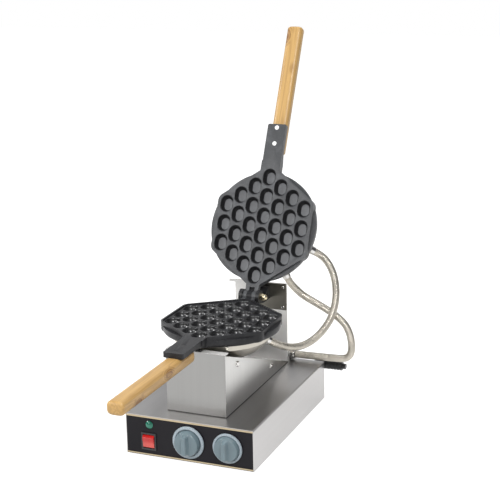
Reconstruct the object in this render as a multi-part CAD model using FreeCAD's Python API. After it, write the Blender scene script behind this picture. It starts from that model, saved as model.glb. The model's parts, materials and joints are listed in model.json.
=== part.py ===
import FreeCAD, Part
import math
import os

Vector = FreeCAD.Vector

# Rotating egg waffle pan, shown open: a steel base with its controls, a folded riser and a column,
# and two cast plates on a hinge that turns in the column. Millimetres, +Z up, front towards -Y.
# The origin is on the standing plane, straight under the centre of the lower cooking plate.

# ---- base ----
BASE_WIDTH = 205.0
BASE_DEPTH = 308.0
BASE_HEIGHT = 63.0
BASE_SHEET = 1.2
BASE_BEND = 2.4
FOOT_HEIGHT = 3.0
FOOT_RADIUS = 9.0
FOOT_TAPER = 1.0
FOOT_INSET_X = 24.0
FOOT_INSET_Y = 26.0
VENT_COUNT = 9
VENT_WIDTH = 4.0
VENT_LENGTH = 34.0
VENT_PITCH = 14.0
VENT_ROW_Y = 62.0

# ---- control panel ----
PANEL_THICKNESS = 2.0
TRIM_HEIGHT = 2.0
TRIM_THICKNESS = 0.8
CONTROL_HEIGHT = 31.0
TIMER_X = 0.0
TIMER_SKIRT_RADIUS = 25.0
TIMER_CAP_RADIUS = 21.8
THERMOSTAT_X = 62.2
THERMOSTAT_SKIRT_RADIUS = 23.0
THERMOSTAT_CAP_RADIUS = 20.0
KNOB_SKIRT_THICKNESS = 3.0
KNOB_CAP_DEPTH = 8.0
KNOB_GRIP_DEPTH = 10.0
KNOB_GRIP_WIDTH = 11.0
KNOB_PANEL_GAP = 0.8
KNOB_EDGE = 1.5
KNOB_TAPER = 1.2
KNOB_GRIP_TAPER = 4.0
KNOB_GRIP_FOOT = 2.0
CONTROL_SHAFT_RADIUS = 3.0
CONTROL_SHAFT_REACH = 12.0
CONTROL_BODY_DEPTH = 26.0
TIMER_BODY_WIDTH = 42.0
TIMER_BODY_CORNER = 5.0
THERMOSTAT_BODY_RADIUS = 17.0
THERMOSTAT_FLANGE = 4.0
THERMOSTAT_STEP = 3.0
LAMP_X = -63.4
LAMP_HEIGHT = 49.2
LAMP_RADIUS = 6.0
LAMP_DOME = 3.5
LAMP_RIM = 0.8
LAMP_BODY_RADIUS = 4.6
LAMP_BODY_LENGTH = 20.0
SWITCH_X = -65.0
SWITCH_HEIGHT = 22.8
SWITCH_WIDTH = 24.0
SWITCH_LENGTH = 27.0
SWITCH_BEZEL = 1.6
SWITCH_WALL = 1.6
SWITCH_FRAME = 2.6
SWITCH_BODY_DEPTH = 22.0
ROCKER_TRAVEL = 16.0
ROCKER_PIVOT_DEPTH = 5.0
ROCKER_FACE = 6.6
ROCKER_PIN_RADIUS = 1.5

# ---- riser, tray and column ----
RISER_WIDTH = 95.2
RISER_SHEET = 1.5
RISER_TIP_INSET = 5.9
REST_PAD_HEIGHT = 4.3
RISER_FLANGE = 12.0
RISER_EDGE_DROP = 2.4
RISER_BACK_Y = 154.2
RISER_BACK_HEIGHT = 2.0
RISER_FOOT_WIDTH = 11.0
TRAY_SHEET = 1.0
TRAY_DEPTH = 22.0
TRAY_EDGE_GAP = 4.0
TRAY_FRONT_INSET = 5.8
TRAY_BACK_Y = 91.2
TRAY_SCREW_FRONT_INSET = 44.6
TRAY_SCREW_BACK_INSET = 11.8
TRAY_SCREW_DROP = 10.0
RISER_SCREW_FRONT_INSET = 23.8
RISER_SCREW_BACK_INSET = 34.0
COLUMN_WIDTH = 90.4
COLUMN_THICKNESS = 3.0
COLUMN_FRONT_Y = 159.0
COLUMN_BACK_INSET = 20.2
COLUMN_ABOVE_HINGE = 11.9
COLUMN_FOOT_DEPTH = 14.0
COLUMN_FOOT_RIGHT = 26.0
COLUMN_TAB_LENGTH = 10.8
COLUMN_TAB_HEIGHT = 3.5
COLUMN_TAB_DROP = 1.0
BEARING_PLATE_LEFT = -14.0
BEARING_PLATE_RIGHT = 44.7
BEARING_PLATE_HEIGHT = 43.5
BEARING_PLATE_THICKNESS = 3.0

# ---- screws ----
SCREW_RADIUS = 2.0
SCREW_HEAD_RADIUS = 4.3
SCREW_HEAD_HEIGHT = 2.4
SCREW_LENGTH = 8.0
SCREW_CROWN = 0.6
SMALL_SCREW_RADIUS = 1.5
SMALL_SCREW_HEAD_RADIUS = 2.6
SMALL_SCREW_HEAD_HEIGHT = 1.8
SMALL_SCREW_LENGTH = 7.0

# ---- hinge and turning head ----
HINGE_Y = 115.7
HINGE_HEIGHT = 185.6
LID_OPENING = 116.3
PIN_RADIUS = 3.0
PIN_HEAD_RADIUS = 4.6
PIN_HEAD_THICKNESS = 2.0
LUG_RADIUS = 8.5
LUG_CENTRE_WIDTH = 8.0
LUG_SIDE_WIDTH = 6.6
LUG_GAP = 0.4
HEEL_HEIGHT = 6.5
EAR_RADIUS = 10.5
EAR_WIDTH = 6.0
YOKE_FRONT = 14.0
YOKE_DROP = 13.0
YOKE_LOW_TOP = -2.0
YOKE_HIGH_TOP = 7.5
YOKE_STEP_START = 22.0
YOKE_STEP_END = 31.0
SHAFT_RADIUS = 5.0
SHAFT_SEAT = 11.0
SHAFT_END = 1.5
BUSH_WALL = 2.5
BUSH_FLANGE_RADIUS = 9.5
BUSH_FLANGE_THICKNESS = 2.4
NUT_ACROSS_FLATS = 14.0
NUT_THICKNESS = 6.0
ACORN_ACROSS_FLATS = 10.0
ACORN_HEX = 5.0
ACORN_LENGTH = 10.9

# ---- cast plates ----
PATTERN_OFFSET = 115.7
HEX_HALF_WIDTH = 83.0
HEX_SHOULDER = 43.9
HEX_TIP = 104.5
HEX_CORNER = 14.0
FLANGE_RADIUS = 90.0
HEX_RAISE = 6.0
PLATE_THICKNESS = 17.6
PLATE_EDGE_RADIUS = 5.0
PARTING_GAP = 0.3
RIM_WIDTH = 3.0
WEB_THICKNESS = 2.0
CELL_PITCH_ALONG = 32.5
CELL_PITCH_ACROSS = 22.3
CELL_ROWS = 6
CELL_HALF_WIDTH = 10.75
CELL_HALF_LENGTH = 13.75
CELL_DEPTH = 9.0
CELL_FLOOR_RADIUS = 6.4
CELL_WALL_BREAK = 5.0
CELL_BREAK_RADIUS = 9.6
NECK_WIDTH = 32.0
NECK_THICKNESS = 8.0
NECK_END = 171.0
NECK_SHOULDER = 109.0
NECK_STEP = 1.2
NECK_CORNER = 3.0
NECK_RIB_WIDTH = 4.0
NECK_RIB_DEPTH = 4.5
PAD_WIDTH = 10.0
PAD_LENGTH = 7.0

# ---- grips ----
GRIP_WIDTH = 26.0
GRIP_THICKNESS = 20.0
GRIP_CORNER = 6.0
GRIP_START = 124.0
GRIP_END = 344.0
GRIP_SCREW_AT = (137.9, 165.0)
GRIP_SCREW_HEAD_RADIUS = 3.6
GRIP_SCREW_HEAD_DEPTH = 2.2
GRIP_SCREW_LENGTH = 22.0

# ---- heaters and their covers ----
HEATER_RING_RADIUS = 50.0
HEATER_TUBE_RADIUS = 4.0
HEATER_SWEEP = 325.0
TERMINAL_RADIUS = 2.0
TERMINAL_LENGTH = 9.0
TERMINAL_ANGLE = 5.0
CLAMP_WIDTH = 14.0
CLAMP_THICKNESS = 2.0
CLAMP_OVERHANG = 4.0
CLAMP_POST_RADIUS = 6.0
COVER_SHEET = 1.0
COVER_FLANGE_RADIUS = 82.0
COVER_RADIUS = 74.5
COVER_STRAIGHT = 11.0
COVER_WAIST_RADIUS = 55.6
COVER_WAIST_DEPTH = 29.6
COVER_FLOOR_RADIUS = 34.0
COVER_DEPTH = 38.6
COVER_SCREW_COUNT = 6
COVER_SCREW_CIRCLE = 78.6

# ---- hoses and glands ----
HOSE_RADIUS = 6.0
HOSE_LEAD = 12.0
ARC_SHARE = 0.45
GLAND_TUBE_RADIUS = 5.0
GLAND_NIPPLE_RADIUS = 7.0
GLAND_HEX = 17.0
GLAND_HEX_LENGTH = 6.0
GLAND_REACH = 16.0
GLAND_NIPPLE_LENGTH = 8.0
GLAND_ROOT = 6.0
GLAND_CIRCLE = 68.0
GLAND_DEPTH = 24.4
# each cover gland is set by its bearing from +X and its tilt away from the plate
LOWER_LINK_GLAND = (50.0, 35.0)
UPPER_LINK_GLAND = (162.0, 45.0)
UPPER_FEED_GLAND = (117.0, 45.0)
LINK_ROUTE = (
    (61.9, 85.2, 119.6),
    (72.7, 103.2, 111.1),
    (85.9, 122.2, 109.3),
    (98.1, 140.2, 115.4),
    (108.3, 157.2, 127.2),
    (115.9, 172.2, 142.8),
    (119.0, 186.2, 164.2),
    (116.2, 198.2, 186.7),
    (108.2, 207.2, 209.7),
    (95.5, 209.7, 229.0),
)
FEED_ROUTE = (
    (78.0, 171.2, 75.5),
    (99.0, 172.4, 75.5),
    (120.0, 173.8, 75.3),
    (139.5, 175.5, 75.6),
    (148.0, 176.8, 83.4),
    (149.4, 178.4, 97.0),
    (145.6, 181.8, 114.5),
    (136.4, 185.2, 130.7),
    (120.4, 188.2, 142.5),
    (98.9, 191.7, 152.4),
    (77.4, 194.2, 161.4),
    (59.0, 194.7, 170.1),
    (46.9, 192.2, 181.7),
)
BASE_GLAND_X = 40.0
BASE_GLAND_INSET = 8.4
BASE_GLAND_BODY_RADIUS = 7.5
BASE_GLAND_CLEARANCE = 2.0
BASE_GLAND_REACH = 16.0
BASE_GLAND_HEX_START = 8.0
BASE_GLAND_HEX_LENGTH = 5.0
BASE_GLAND_HEX = 16.0
POWER_GLAND_X = 88.0
POWER_GLAND_HEIGHT = 57.5
POWER_GLAND_RADIUS = 7.5
POWER_GLAND_FLANGE_RADIUS = 8.4
POWER_GLAND_FLANGE_THICKNESS = 2.0
POWER_GLAND_STANDOFF = 9.0
POWER_GLAND_LENGTH = 42.0
POWER_GLAND_TIP_RADIUS = 4.5
POWER_GLAND_TIP_LENGTH = 6.0
POWER_GLAND_GROOVES = 4
POWER_GLAND_GROOVE_DEPTH = 1.2

# ---- inner parts of the base ----
TERMINAL_BLOCK_LENGTH = 58.0
TERMINAL_BLOCK_WIDTH = 22.0
TERMINAL_BLOCK_HEIGHT = 17.0
TERMINAL_BLOCK_Y = 95.2
TERMINAL_WAYS = 5
TERMINAL_HOLE_RADIUS = 2.5

# ---- fits ----
RUNNING_FIT = 0.05
SEAT_GAP = 0.3
OVERCUT = 1.0

# ---- places worked out from the sizes above ----
base_bottom = FOOT_HEIGHT
base_top = FOOT_HEIGHT + BASE_HEIGHT
half_width = BASE_WIDTH / 2
back_y = COLUMN_FRONT_Y + COLUMN_BACK_INSET
front_y = back_y - BASE_DEPTH
base_centre_y = (front_y + back_y) / 2
base_gland_y = back_y - BASE_GLAND_INSET
base_gland_height = base_top + BASE_GLAND_BODY_RADIUS + BASE_GLAND_CLEARANCE
control_z = base_bottom + CONTROL_HEIGHT
riser_half = RISER_WIDTH / 2
centre_y = HINGE_Y - PATTERN_OFFSET
riser_front_y = centre_y - HEX_TIP + RISER_TIP_INSET
tray_front_y = riser_front_y + TRAY_FRONT_INSET
riser_top = HINGE_HEIGHT - PLATE_THICKNESS - REST_PAD_HEIGHT - SEAT_GAP
riser_edge_top = riser_top - RISER_EDGE_DROP
riser_edge_end = base_top + RISER_BACK_HEIGHT
riser_edge_y = riser_front_y + RISER_EDGE_DROP
column_back_y = COLUMN_FRONT_Y + COLUMN_THICKNESS
column_top = HINGE_HEIGHT + COLUMN_ABOVE_HINGE
bearing_front_y = COLUMN_FRONT_Y - BEARING_PLATE_THICKNESS
yoke_back_y = bearing_front_y - SEAT_GAP
bush_radius = SHAFT_RADIUS + BUSH_WALL
lug_half = LUG_CENTRE_WIDTH / 2
side_lug_inner = lug_half + LUG_GAP
side_lug_outer = side_lug_inner + LUG_SIDE_WIDTH
ear_inner = side_lug_outer + LUG_GAP
ear_outer = ear_inner + EAR_WIDTH
face_z = -PARTING_GAP / 2
plate_bottom = -PLATE_THICKNESS
X_AXIS = Vector(1, 0, 0)
Y_AXIS = Vector(0, 1, 0)
Z_AXIS = Vector(0, 0, 1)
HINGE_POINT = Vector(0, HINGE_Y, HINGE_HEIGHT)


# ---- shape helpers ----

def box(x0, x1, y0, y1, z0, z1):
    return Part.makeBox(x1 - x0, y1 - y0, z1 - z0, Vector(x0, y0, z0))


def rod(start, direction, radius, length):
    return Part.makeCylinder(radius, length, start, direction)


def fuse(shapes):
    joined = shapes[0].multiFuse(shapes[1:]) if len(shapes) > 1 else shapes[0]
    return joined.removeSplitter()


def cut(shape, tools):
    return shape.cut(tools).removeSplitter()


def group(shapes):
    return Part.makeCompound(shapes)


def prism(points, direction):
    wire = Part.makePolygon(points + [points[0]])
    return Part.Face(wire).extrude(direction)


def rounded_polygon(corners, radius, z):
    """A closed wire through corner points in a level plane, each corner rounded."""
    edges = []
    count = len(corners)
    starts = []
    ends = []
    for index in range(count):
        before = corners[index - 1]
        here = corners[index]
        after = corners[(index + 1) % count]
        back = Vector(before[0] - here[0], before[1] - here[1], 0).normalize()
        onward = Vector(after[0] - here[0], after[1] - here[1], 0).normalize()
        half = math.acos(back.dot(onward)) / 2
        corner = Vector(here[0], here[1], z)
        reach = radius / math.tan(half)
        inward = (back + onward).normalize()
        middle = corner + inward * (radius / math.sin(half) - radius)
        starts.append(corner + back * reach)
        ends.append(corner + onward * reach)
        edges.append(Part.Arc(starts[-1], middle, ends[-1]).toShape())
    for index in range(count):
        edges.append(Part.LineSegment(ends[index - 1], starts[index]).toShape())
    return Part.Wire(Part.__sortEdges__(edges))


def level_prism(corners, radius, z_low, z_high):
    face = Part.Face(rounded_polygon(corners, radius, z_low))
    return face.extrude(Vector(0, 0, z_high - z_low))


def revolved(profile, sweep=360.0):
    """A solid turned about the local Z axis from an (r, z) outline."""
    points = [Vector(r, 0, z) for r, z in profile]
    wire = Part.makePolygon(points + [points[0]])
    return Part.Face(wire).revolve(Vector(0, 0, 0), Z_AXIS, sweep)


def domed(radius, straight, height):
    """A turned button: a straight wall, then a spherical cap up to the given height."""
    rise = height - straight
    ball = (radius ** 2 + rise ** 2) / (2 * rise)
    half_angle = math.atan2(radius, ball - rise) / 2
    ball_z = height - ball
    top = Vector(0, 0, height)
    shoulder = Vector(ball * math.sin(half_angle), 0, ball_z + ball * math.cos(half_angle))
    edges = [Part.Arc(Vector(radius, 0, straight), shoulder, top).toShape(),
             Part.LineSegment(top, Vector(0, 0, 0)).toShape(),
             Part.LineSegment(Vector(0, 0, 0), Vector(radius, 0, 0)).toShape()]
    if straight > 0:
        edges.append(Part.LineSegment(Vector(radius, 0, 0), Vector(radius, 0, straight)).toShape())
    return Part.Face(Part.Wire(Part.__sortEdges__(edges))).revolve(Vector(0, 0, 0), Z_AXIS, 360)


def hex_prism(across_flats, length, start, direction):
    radius = across_flats / math.sqrt(3)
    corners = [Vector(radius * math.cos(math.radians(60 * k)), radius * math.sin(math.radians(60 * k)), 0)
               for k in range(6)]
    shape = prism(corners, Vector(0, 0, length))
    shape.Placement = FreeCAD.Placement(start, FreeCAD.Rotation(Z_AXIS, direction))
    return shape


def pan_screw(seat, outward, radius, head_radius, head_height, length):
    """A round-headed screw whose head sits on the seat point."""
    head = Part.makeCylinder(head_radius, head_height, seat, outward)
    top_edges = [edge for edge in head.Edges
                 if abs((edge.CenterOfMass - seat).dot(outward) - head_height) < 0.01]
    head = head.makeFillet(head_height * SCREW_CROWN, top_edges)
    shank = Part.makeCylinder(radius, length, seat, outward * -1)
    return head.fuse(shank)


# ---- base ----

def soft_box(x0, x1, y0, y1, z0, z1, radius):
    """A box with its top side edges and back edges bent round."""
    block = box(x0, x1, y0, y1, z0, z1)
    bends = []
    for edge in block.Edges:
        middle = edge.CenterOfMass
        on_side = abs(abs(middle.x) - x1) < 0.01
        if on_side and abs(middle.z - z1) < 0.01:
            bends.append(edge)
        if on_side and abs(middle.y - y1) < 0.01:
            bends.append(edge)
        if abs(middle.y - y1) < 0.01 and abs(middle.z - z1) < 0.01:
            bends.append(edge)
    return block.makeFillet(radius, bends)


def base_inside():
    """The space inside the bent sheet, open at the front and below."""
    inner_half = half_width - BASE_SHEET
    return soft_box(-inner_half, inner_half, front_y - OVERCUT, back_y - BASE_SHEET,
                    base_bottom - OVERCUT, base_top - BASE_SHEET, BASE_BEND - BASE_SHEET)


def base_shell():
    outer = soft_box(-half_width, half_width, front_y, back_y, base_bottom, base_top, BASE_BEND)
    holes = [
        rod(Vector(BASE_GLAND_X, base_gland_y, base_top - BASE_SHEET - OVERCUT), Z_AXIS,
            GLAND_TUBE_RADIUS, BASE_SHEET + 2 * OVERCUT),
        rod(Vector(POWER_GLAND_X, back_y - BASE_SHEET - OVERCUT, POWER_GLAND_HEIGHT), Y_AXIS,
            GLAND_TUBE_RADIUS, BASE_SHEET + 2 * OVERCUT),
    ]
    for x, y in riser_screw_places() + column_screw_places():
        holes.append(rod(Vector(x, y, base_top - BASE_SHEET - OVERCUT), Z_AXIS,
                         SCREW_RADIUS, BASE_SHEET + 2 * OVERCUT))
    return cut(outer, [base_inside()] + holes)


def bottom_plate():
    inner_half = half_width - BASE_SHEET
    plate = box(-inner_half, inner_half, front_y + PANEL_THICKNESS, back_y - BASE_SHEET,
                base_bottom, base_bottom + BASE_SHEET)
    slots = []
    first = -VENT_PITCH * (VENT_COUNT - 1) / 2
    for row_y in (base_centre_y - VENT_ROW_Y, base_centre_y + VENT_ROW_Y):
        for index in range(VENT_COUNT):
            x = first + index * VENT_PITCH
            slots.append(box(x - VENT_WIDTH / 2, x + VENT_WIDTH / 2,
                             row_y - VENT_LENGTH / 2, row_y + VENT_LENGTH / 2,
                             base_bottom - OVERCUT, base_bottom + BASE_SHEET + OVERCUT))
    return cut(plate.common(base_inside()), slots)


def feet():
    shapes = []
    for side in (-1, 1):
        for end in (-1, 1):
            x = side * (half_width - FOOT_INSET_X)
            y = base_centre_y + end * (BASE_DEPTH / 2 - FOOT_INSET_Y)
            shapes.append(Part.makeCone(FOOT_RADIUS - FOOT_TAPER, FOOT_RADIUS, FOOT_HEIGHT, Vector(x, y, 0)))
    return group(shapes)


def front_panel():
    inner_half = half_width - BASE_SHEET
    plate = box(-inner_half, inner_half, front_y, front_y + PANEL_THICKNESS,
                base_bottom, base_top - BASE_SHEET)
    start_y = front_y - OVERCUT
    through = PANEL_THICKNESS + 2 * OVERCUT
    holes = [rod(Vector(x, start_y, control_z), Y_AXIS, CONTROL_SHAFT_RADIUS + SEAT_GAP, through)
             for x in (TIMER_X, THERMOSTAT_X)]
    holes.append(rod(Vector(LAMP_X, start_y, base_bottom + LAMP_HEIGHT), Y_AXIS, LAMP_BODY_RADIUS, through))
    half_w = SWITCH_WIDTH / 2 - SWITCH_BEZEL
    half_l = SWITCH_LENGTH / 2 - SWITCH_BEZEL
    centre_z = base_bottom + SWITCH_HEIGHT
    holes.append(box(SWITCH_X - half_w, SWITCH_X + half_w, start_y, start_y + through,
                     centre_z - half_l, centre_z + half_l))
    return cut(plate.common(base_inside()), holes)


def panel_trim():
    inner_half = half_width - BASE_SHEET
    low = base_bottom + BASE_SHEET
    high = base_top - BASE_SHEET
    strips = [box(-inner_half, inner_half, front_y - TRIM_THICKNESS, front_y, z, z + TRIM_HEIGHT)
              for z in (low, high - TRIM_HEIGHT)]
    return group(strips)


def knob(x, skirt_radius, cap_radius):
    """A skirted knob with a bar grip; its back lies just clear of the panel."""
    cap_back = KNOB_SKIRT_THICKNESS
    cap_front = cap_back + KNOB_CAP_DEPTH
    face_radius = cap_radius - KNOB_TAPER
    profile = [(0, 0), (skirt_radius, 0), (skirt_radius, cap_back / 2), (skirt_radius - KNOB_EDGE, cap_back),
               (cap_radius, cap_back), (face_radius, cap_front - KNOB_EDGE),
               (face_radius - KNOB_EDGE, cap_front), (0, cap_front)]
    body = revolved(profile)
    grip_top = cap_front + KNOB_GRIP_DEPTH
    foot_half = KNOB_GRIP_WIDTH / 2 + KNOB_EDGE
    top_half = KNOB_GRIP_WIDTH / 2 - KNOB_EDGE
    foot_z = cap_front - KNOB_GRIP_FOOT
    bar = prism([Vector(-foot_half, -cap_radius, foot_z), Vector(foot_half, -cap_radius, foot_z),
                 Vector(top_half, -cap_radius, grip_top), Vector(-top_half, -cap_radius, grip_top)],
                Vector(0, 2 * cap_radius, 0))
    limit = Part.makeCone(face_radius, face_radius - KNOB_GRIP_TAPER, grip_top, Vector(0, 0, 0))
    shape = fuse([body, bar.common(limit)])
    bore = Part.makeCylinder(CONTROL_SHAFT_RADIUS, CONTROL_SHAFT_REACH + OVERCUT, Vector(0, 0, -OVERCUT))
    shape = cut(shape, [bore])
    shape.Placement = FreeCAD.Placement(Vector(x, front_y - KNOB_PANEL_GAP, control_z),
                                        FreeCAD.Rotation(Z_AXIS, Y_AXIS * -1))
    return shape


def control_shaft(x):
    start = front_y - KNOB_PANEL_GAP - CONTROL_SHAFT_REACH
    length = CONTROL_SHAFT_REACH + KNOB_PANEL_GAP + PANEL_THICKNESS + CONTROL_BODY_DEPTH / 2
    return rod(Vector(x, start, control_z), Y_AXIS, CONTROL_SHAFT_RADIUS, length)


def control_bore(x):
    depth = CONTROL_BODY_DEPTH / 2 + SEAT_GAP
    return rod(Vector(x, front_y + PANEL_THICKNESS - OVERCUT, control_z), Y_AXIS,
               CONTROL_SHAFT_RADIUS + RUNNING_FIT, depth + OVERCUT)


def timer_body():
    half = TIMER_BODY_WIDTH / 2
    back = front_y + PANEL_THICKNESS
    case = level_prism([(-half, -half), (half, -half), (half, half), (-half, half)], TIMER_BODY_CORNER,
                       0, CONTROL_BODY_DEPTH)
    case.Placement = FreeCAD.Placement(Vector(TIMER_X, back, control_z), FreeCAD.Rotation(Z_AXIS, Y_AXIS))
    return cut(case, [control_bore(TIMER_X)])


def thermostat_body():
    back = front_y + PANEL_THICKNESS
    radius = THERMOSTAT_BODY_RADIUS
    step = THERMOSTAT_STEP
    case = revolved([(0, 0), (radius, 0), (radius, THERMOSTAT_FLANGE),
                     (radius - step, THERMOSTAT_FLANGE + step), (radius - step, CONTROL_BODY_DEPTH - step),
                     (radius - 2 * step, CONTROL_BODY_DEPTH), (0, CONTROL_BODY_DEPTH)])
    case.Placement = FreeCAD.Placement(Vector(THERMOSTAT_X, back, control_z),
                                       FreeCAD.Rotation(Z_AXIS, Y_AXIS))
    return cut(case, [control_bore(THERMOSTAT_X)])


def indicator_lamp():
    centre = Vector(LAMP_X, front_y, base_bottom + LAMP_HEIGHT)
    lens = domed(LAMP_RADIUS, LAMP_RIM, LAMP_DOME)
    lens.Placement = FreeCAD.Placement(centre, FreeCAD.Rotation(Z_AXIS, Y_AXIS * -1))
    return fuse([lens, rod(centre, Y_AXIS, LAMP_BODY_RADIUS, LAMP_BODY_LENGTH)])


def rocker_pivot():
    return Vector(SWITCH_X, front_y - SWITCH_BEZEL + ROCKER_PIVOT_DEPTH, base_bottom + SWITCH_HEIGHT)


def rocker_housing():
    centre_z = base_bottom + SWITCH_HEIGHT
    half_w = SWITCH_WIDTH / 2
    half_l = SWITCH_LENGTH / 2
    bezel = box(SWITCH_X - half_w, SWITCH_X + half_w, front_y - SWITCH_BEZEL, front_y,
                centre_z - half_l, centre_z + half_l)
    body_w = half_w - SWITCH_BEZEL
    body_l = half_l - SWITCH_BEZEL
    body = box(SWITCH_X - body_w, SWITCH_X + body_w, front_y, front_y + SWITCH_BODY_DEPTH,
               centre_z - body_l, centre_z + body_l)
    well_w = half_w - SWITCH_FRAME
    well_l = half_l - SWITCH_FRAME
    pivot = rocker_pivot()
    well = box(SWITCH_X - well_w, SWITCH_X + well_w, front_y - SWITCH_BEZEL - OVERCUT,
               pivot.y + well_l, centre_z - well_l, centre_z + well_l)
    sockets = rod(pivot - X_AXIS * body_w, X_AXIS, ROCKER_PIN_RADIUS + RUNNING_FIT, 2 * body_w)
    return cut(fuse([bezel, body]), [well, sockets])


def rocker():
    """A rocker key on its own pins, tipped to one end of its travel."""
    pivot = rocker_pivot()
    half_w = SWITCH_WIDTH / 2 - SWITCH_FRAME - SEAT_GAP
    radius = SWITCH_LENGTH / 2 - SWITCH_FRAME - SEAT_GAP
    drum = rod(pivot - X_AXIS * half_w, X_AXIS, radius, 2 * half_w)
    slope = math.tan(math.radians(ROCKER_TRAVEL / 2)) * radius * 2
    keep = prism([
        pivot + Vector(-half_w, -ROCKER_FACE, 0),
        pivot + Vector(-half_w, -ROCKER_FACE - slope / 2, 2 * radius),
        pivot + Vector(-half_w, radius / 2, 2 * radius),
        pivot + Vector(-half_w, radius / 2, -2 * radius),
        pivot + Vector(-half_w, -ROCKER_FACE - slope / 2, -2 * radius),
    ], Vector(2 * half_w, 0, 0))
    key = drum.common(keep)
    pin_half = half_w + SEAT_GAP + SWITCH_FRAME - SWITCH_BEZEL - SEAT_GAP
    pins = rod(pivot - X_AXIS * pin_half, X_AXIS, ROCKER_PIN_RADIUS, 2 * pin_half)
    key = fuse([key, pins])
    key.rotate(pivot, X_AXIS, ROCKER_TRAVEL / 2)
    return key


# ---- riser, tray and column ----

def edge_height(y):
    """Height of the riser's sloping side edge."""
    along = (y - riser_edge_y) / (RISER_BACK_Y - riser_edge_y)
    return riser_edge_top + along * (riser_edge_end - riser_edge_top)


def riser_screw_places():
    x = riser_half - RISER_SHEET - RISER_FOOT_WIDTH / 2
    ys = (riser_front_y + RISER_SCREW_FRONT_INSET, RISER_BACK_Y - RISER_SCREW_BACK_INSET)
    return [(side * x, y) for side in (-1, 1) for y in ys]


def tray_screw_places():
    ys = (riser_front_y + TRAY_SCREW_FRONT_INSET, TRAY_BACK_Y - TRAY_SCREW_BACK_INSET)
    return [(side, y, edge_height(y) - TRAY_SCREW_DROP) for side in (-1, 1) for y in ys]


def riser_bracket():
    front = box(-riser_half, riser_half, riser_front_y, riser_front_y + RISER_SHEET, base_top, riser_top)
    flange = box(-riser_half, riser_half, riser_front_y, riser_front_y + RISER_FLANGE,
                 riser_top - RISER_SHEET, riser_top)
    shapes = [front, flange]
    for side in (-1, 1):
        x = side * riser_half
        inward = Vector(-side * RISER_SHEET, 0, 0)
        outline = [Vector(x, riser_front_y, base_top), Vector(x, riser_front_y, riser_top),
                   Vector(x, riser_edge_y, riser_edge_top),
                   Vector(x, RISER_BACK_Y, riser_edge_end), Vector(x, RISER_BACK_Y, base_top)]
        shapes.append(prism(outline, inward))
        foot_x = sorted((x, x - side * (RISER_SHEET + RISER_FOOT_WIDTH)))
        shapes.append(box(foot_x[0], foot_x[1], riser_front_y, RISER_BACK_Y - RISER_FLANGE,
                          base_top, base_top + RISER_SHEET))
    holes = [rod(Vector(x, y, base_top - OVERCUT), Z_AXIS, SCREW_RADIUS, RISER_SHEET + 2 * OVERCUT)
             for x, y in riser_screw_places()]
    for side, y, z in tray_screw_places():
        holes.append(rod(Vector(side * (riser_half + OVERCUT), y, z), X_AXIS * -side,
                         SCREW_RADIUS, RISER_SHEET + 2 * OVERCUT))
    return cut(fuse(shapes), holes)


def drip_tray():
    """A shallow sloping tray hung between the riser's sides by its upturned edges."""
    outer_half = riser_half - RISER_SHEET
    ys = (tray_front_y, TRAY_BACK_Y)

    def side_outline(x, drop_low, drop_high, y0, y1):
        return [Vector(x, y0, edge_height(y0) - drop_low), Vector(x, y1, edge_height(y1) - drop_low),
                Vector(x, y1, edge_height(y1) - drop_high), Vector(x, y0, edge_height(y0) - drop_high)]

    body = prism(side_outline(-outer_half, TRAY_DEPTH, TRAY_EDGE_GAP, ys[0], ys[1]),
                 Vector(2 * outer_half, 0, 0))
    inner_half = outer_half - TRAY_SHEET
    hollow = prism(side_outline(-inner_half, TRAY_DEPTH - TRAY_SHEET, TRAY_EDGE_GAP - OVERCUT,
                                ys[0] + TRAY_SHEET, ys[1] - TRAY_SHEET), Vector(2 * inner_half, 0, 0))
    low_ends = prism([Vector(-inner_half, ys[0] - OVERCUT, edge_height(ys[0]) - TRAY_DEPTH / 2),
                      Vector(-inner_half, ys[1] + OVERCUT, edge_height(ys[1]) - TRAY_DEPTH / 2),
                      Vector(-inner_half, ys[1] + OVERCUT, edge_height(ys[0])),
                      Vector(-inner_half, ys[0] - OVERCUT, edge_height(ys[0]))], Vector(2 * inner_half, 0, 0))
    holes = [rod(Vector(side * (outer_half + OVERCUT), y, z), X_AXIS * -side,
                 SCREW_RADIUS, TRAY_SHEET + 2 * OVERCUT) for side, y, z in tray_screw_places()]
    return cut(body, [hollow, low_ends] + holes)


def tray_screws():
    return group([pan_screw(Vector(side * riser_half, y, z), X_AXIS * side, SCREW_RADIUS,
                            SCREW_HEAD_RADIUS, SCREW_HEAD_HEIGHT, SCREW_LENGTH)
                  for side, y, z in tray_screw_places()])


def riser_screws():
    return group([pan_screw(Vector(x, y, base_top + RISER_SHEET), Z_AXIS, SCREW_RADIUS,
                            SCREW_HEAD_RADIUS, SCREW_HEAD_HEIGHT, SCREW_LENGTH)
                  for x, y in riser_screw_places()])


def column_screw_places():
    y = column_back_y + COLUMN_FOOT_DEPTH / 2
    left = -COLUMN_WIDTH / 2
    middle = (left + COLUMN_FOOT_RIGHT) / 2
    reach = (COLUMN_FOOT_RIGHT - left) / 2 - 2 * SCREW_HEAD_RADIUS
    return [(middle - reach, y), (middle + reach, y)]


def column_screws():
    return group([pan_screw(Vector(x, y, base_top + COLUMN_THICKNESS), Z_AXIS, SCREW_RADIUS,
                            SCREW_HEAD_RADIUS, SCREW_HEAD_HEIGHT, SCREW_LENGTH)
                  for x, y in column_screw_places()])


def bearing_screw_places():
    margin = 2 * SMALL_SCREW_HEAD_RADIUS
    low = column_top - BEARING_PLATE_HEIGHT + margin
    left = BEARING_PLATE_LEFT + margin
    right = BEARING_PLATE_RIGHT - margin
    return [(left, low), (right, low), (right, column_top - margin)]


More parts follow.
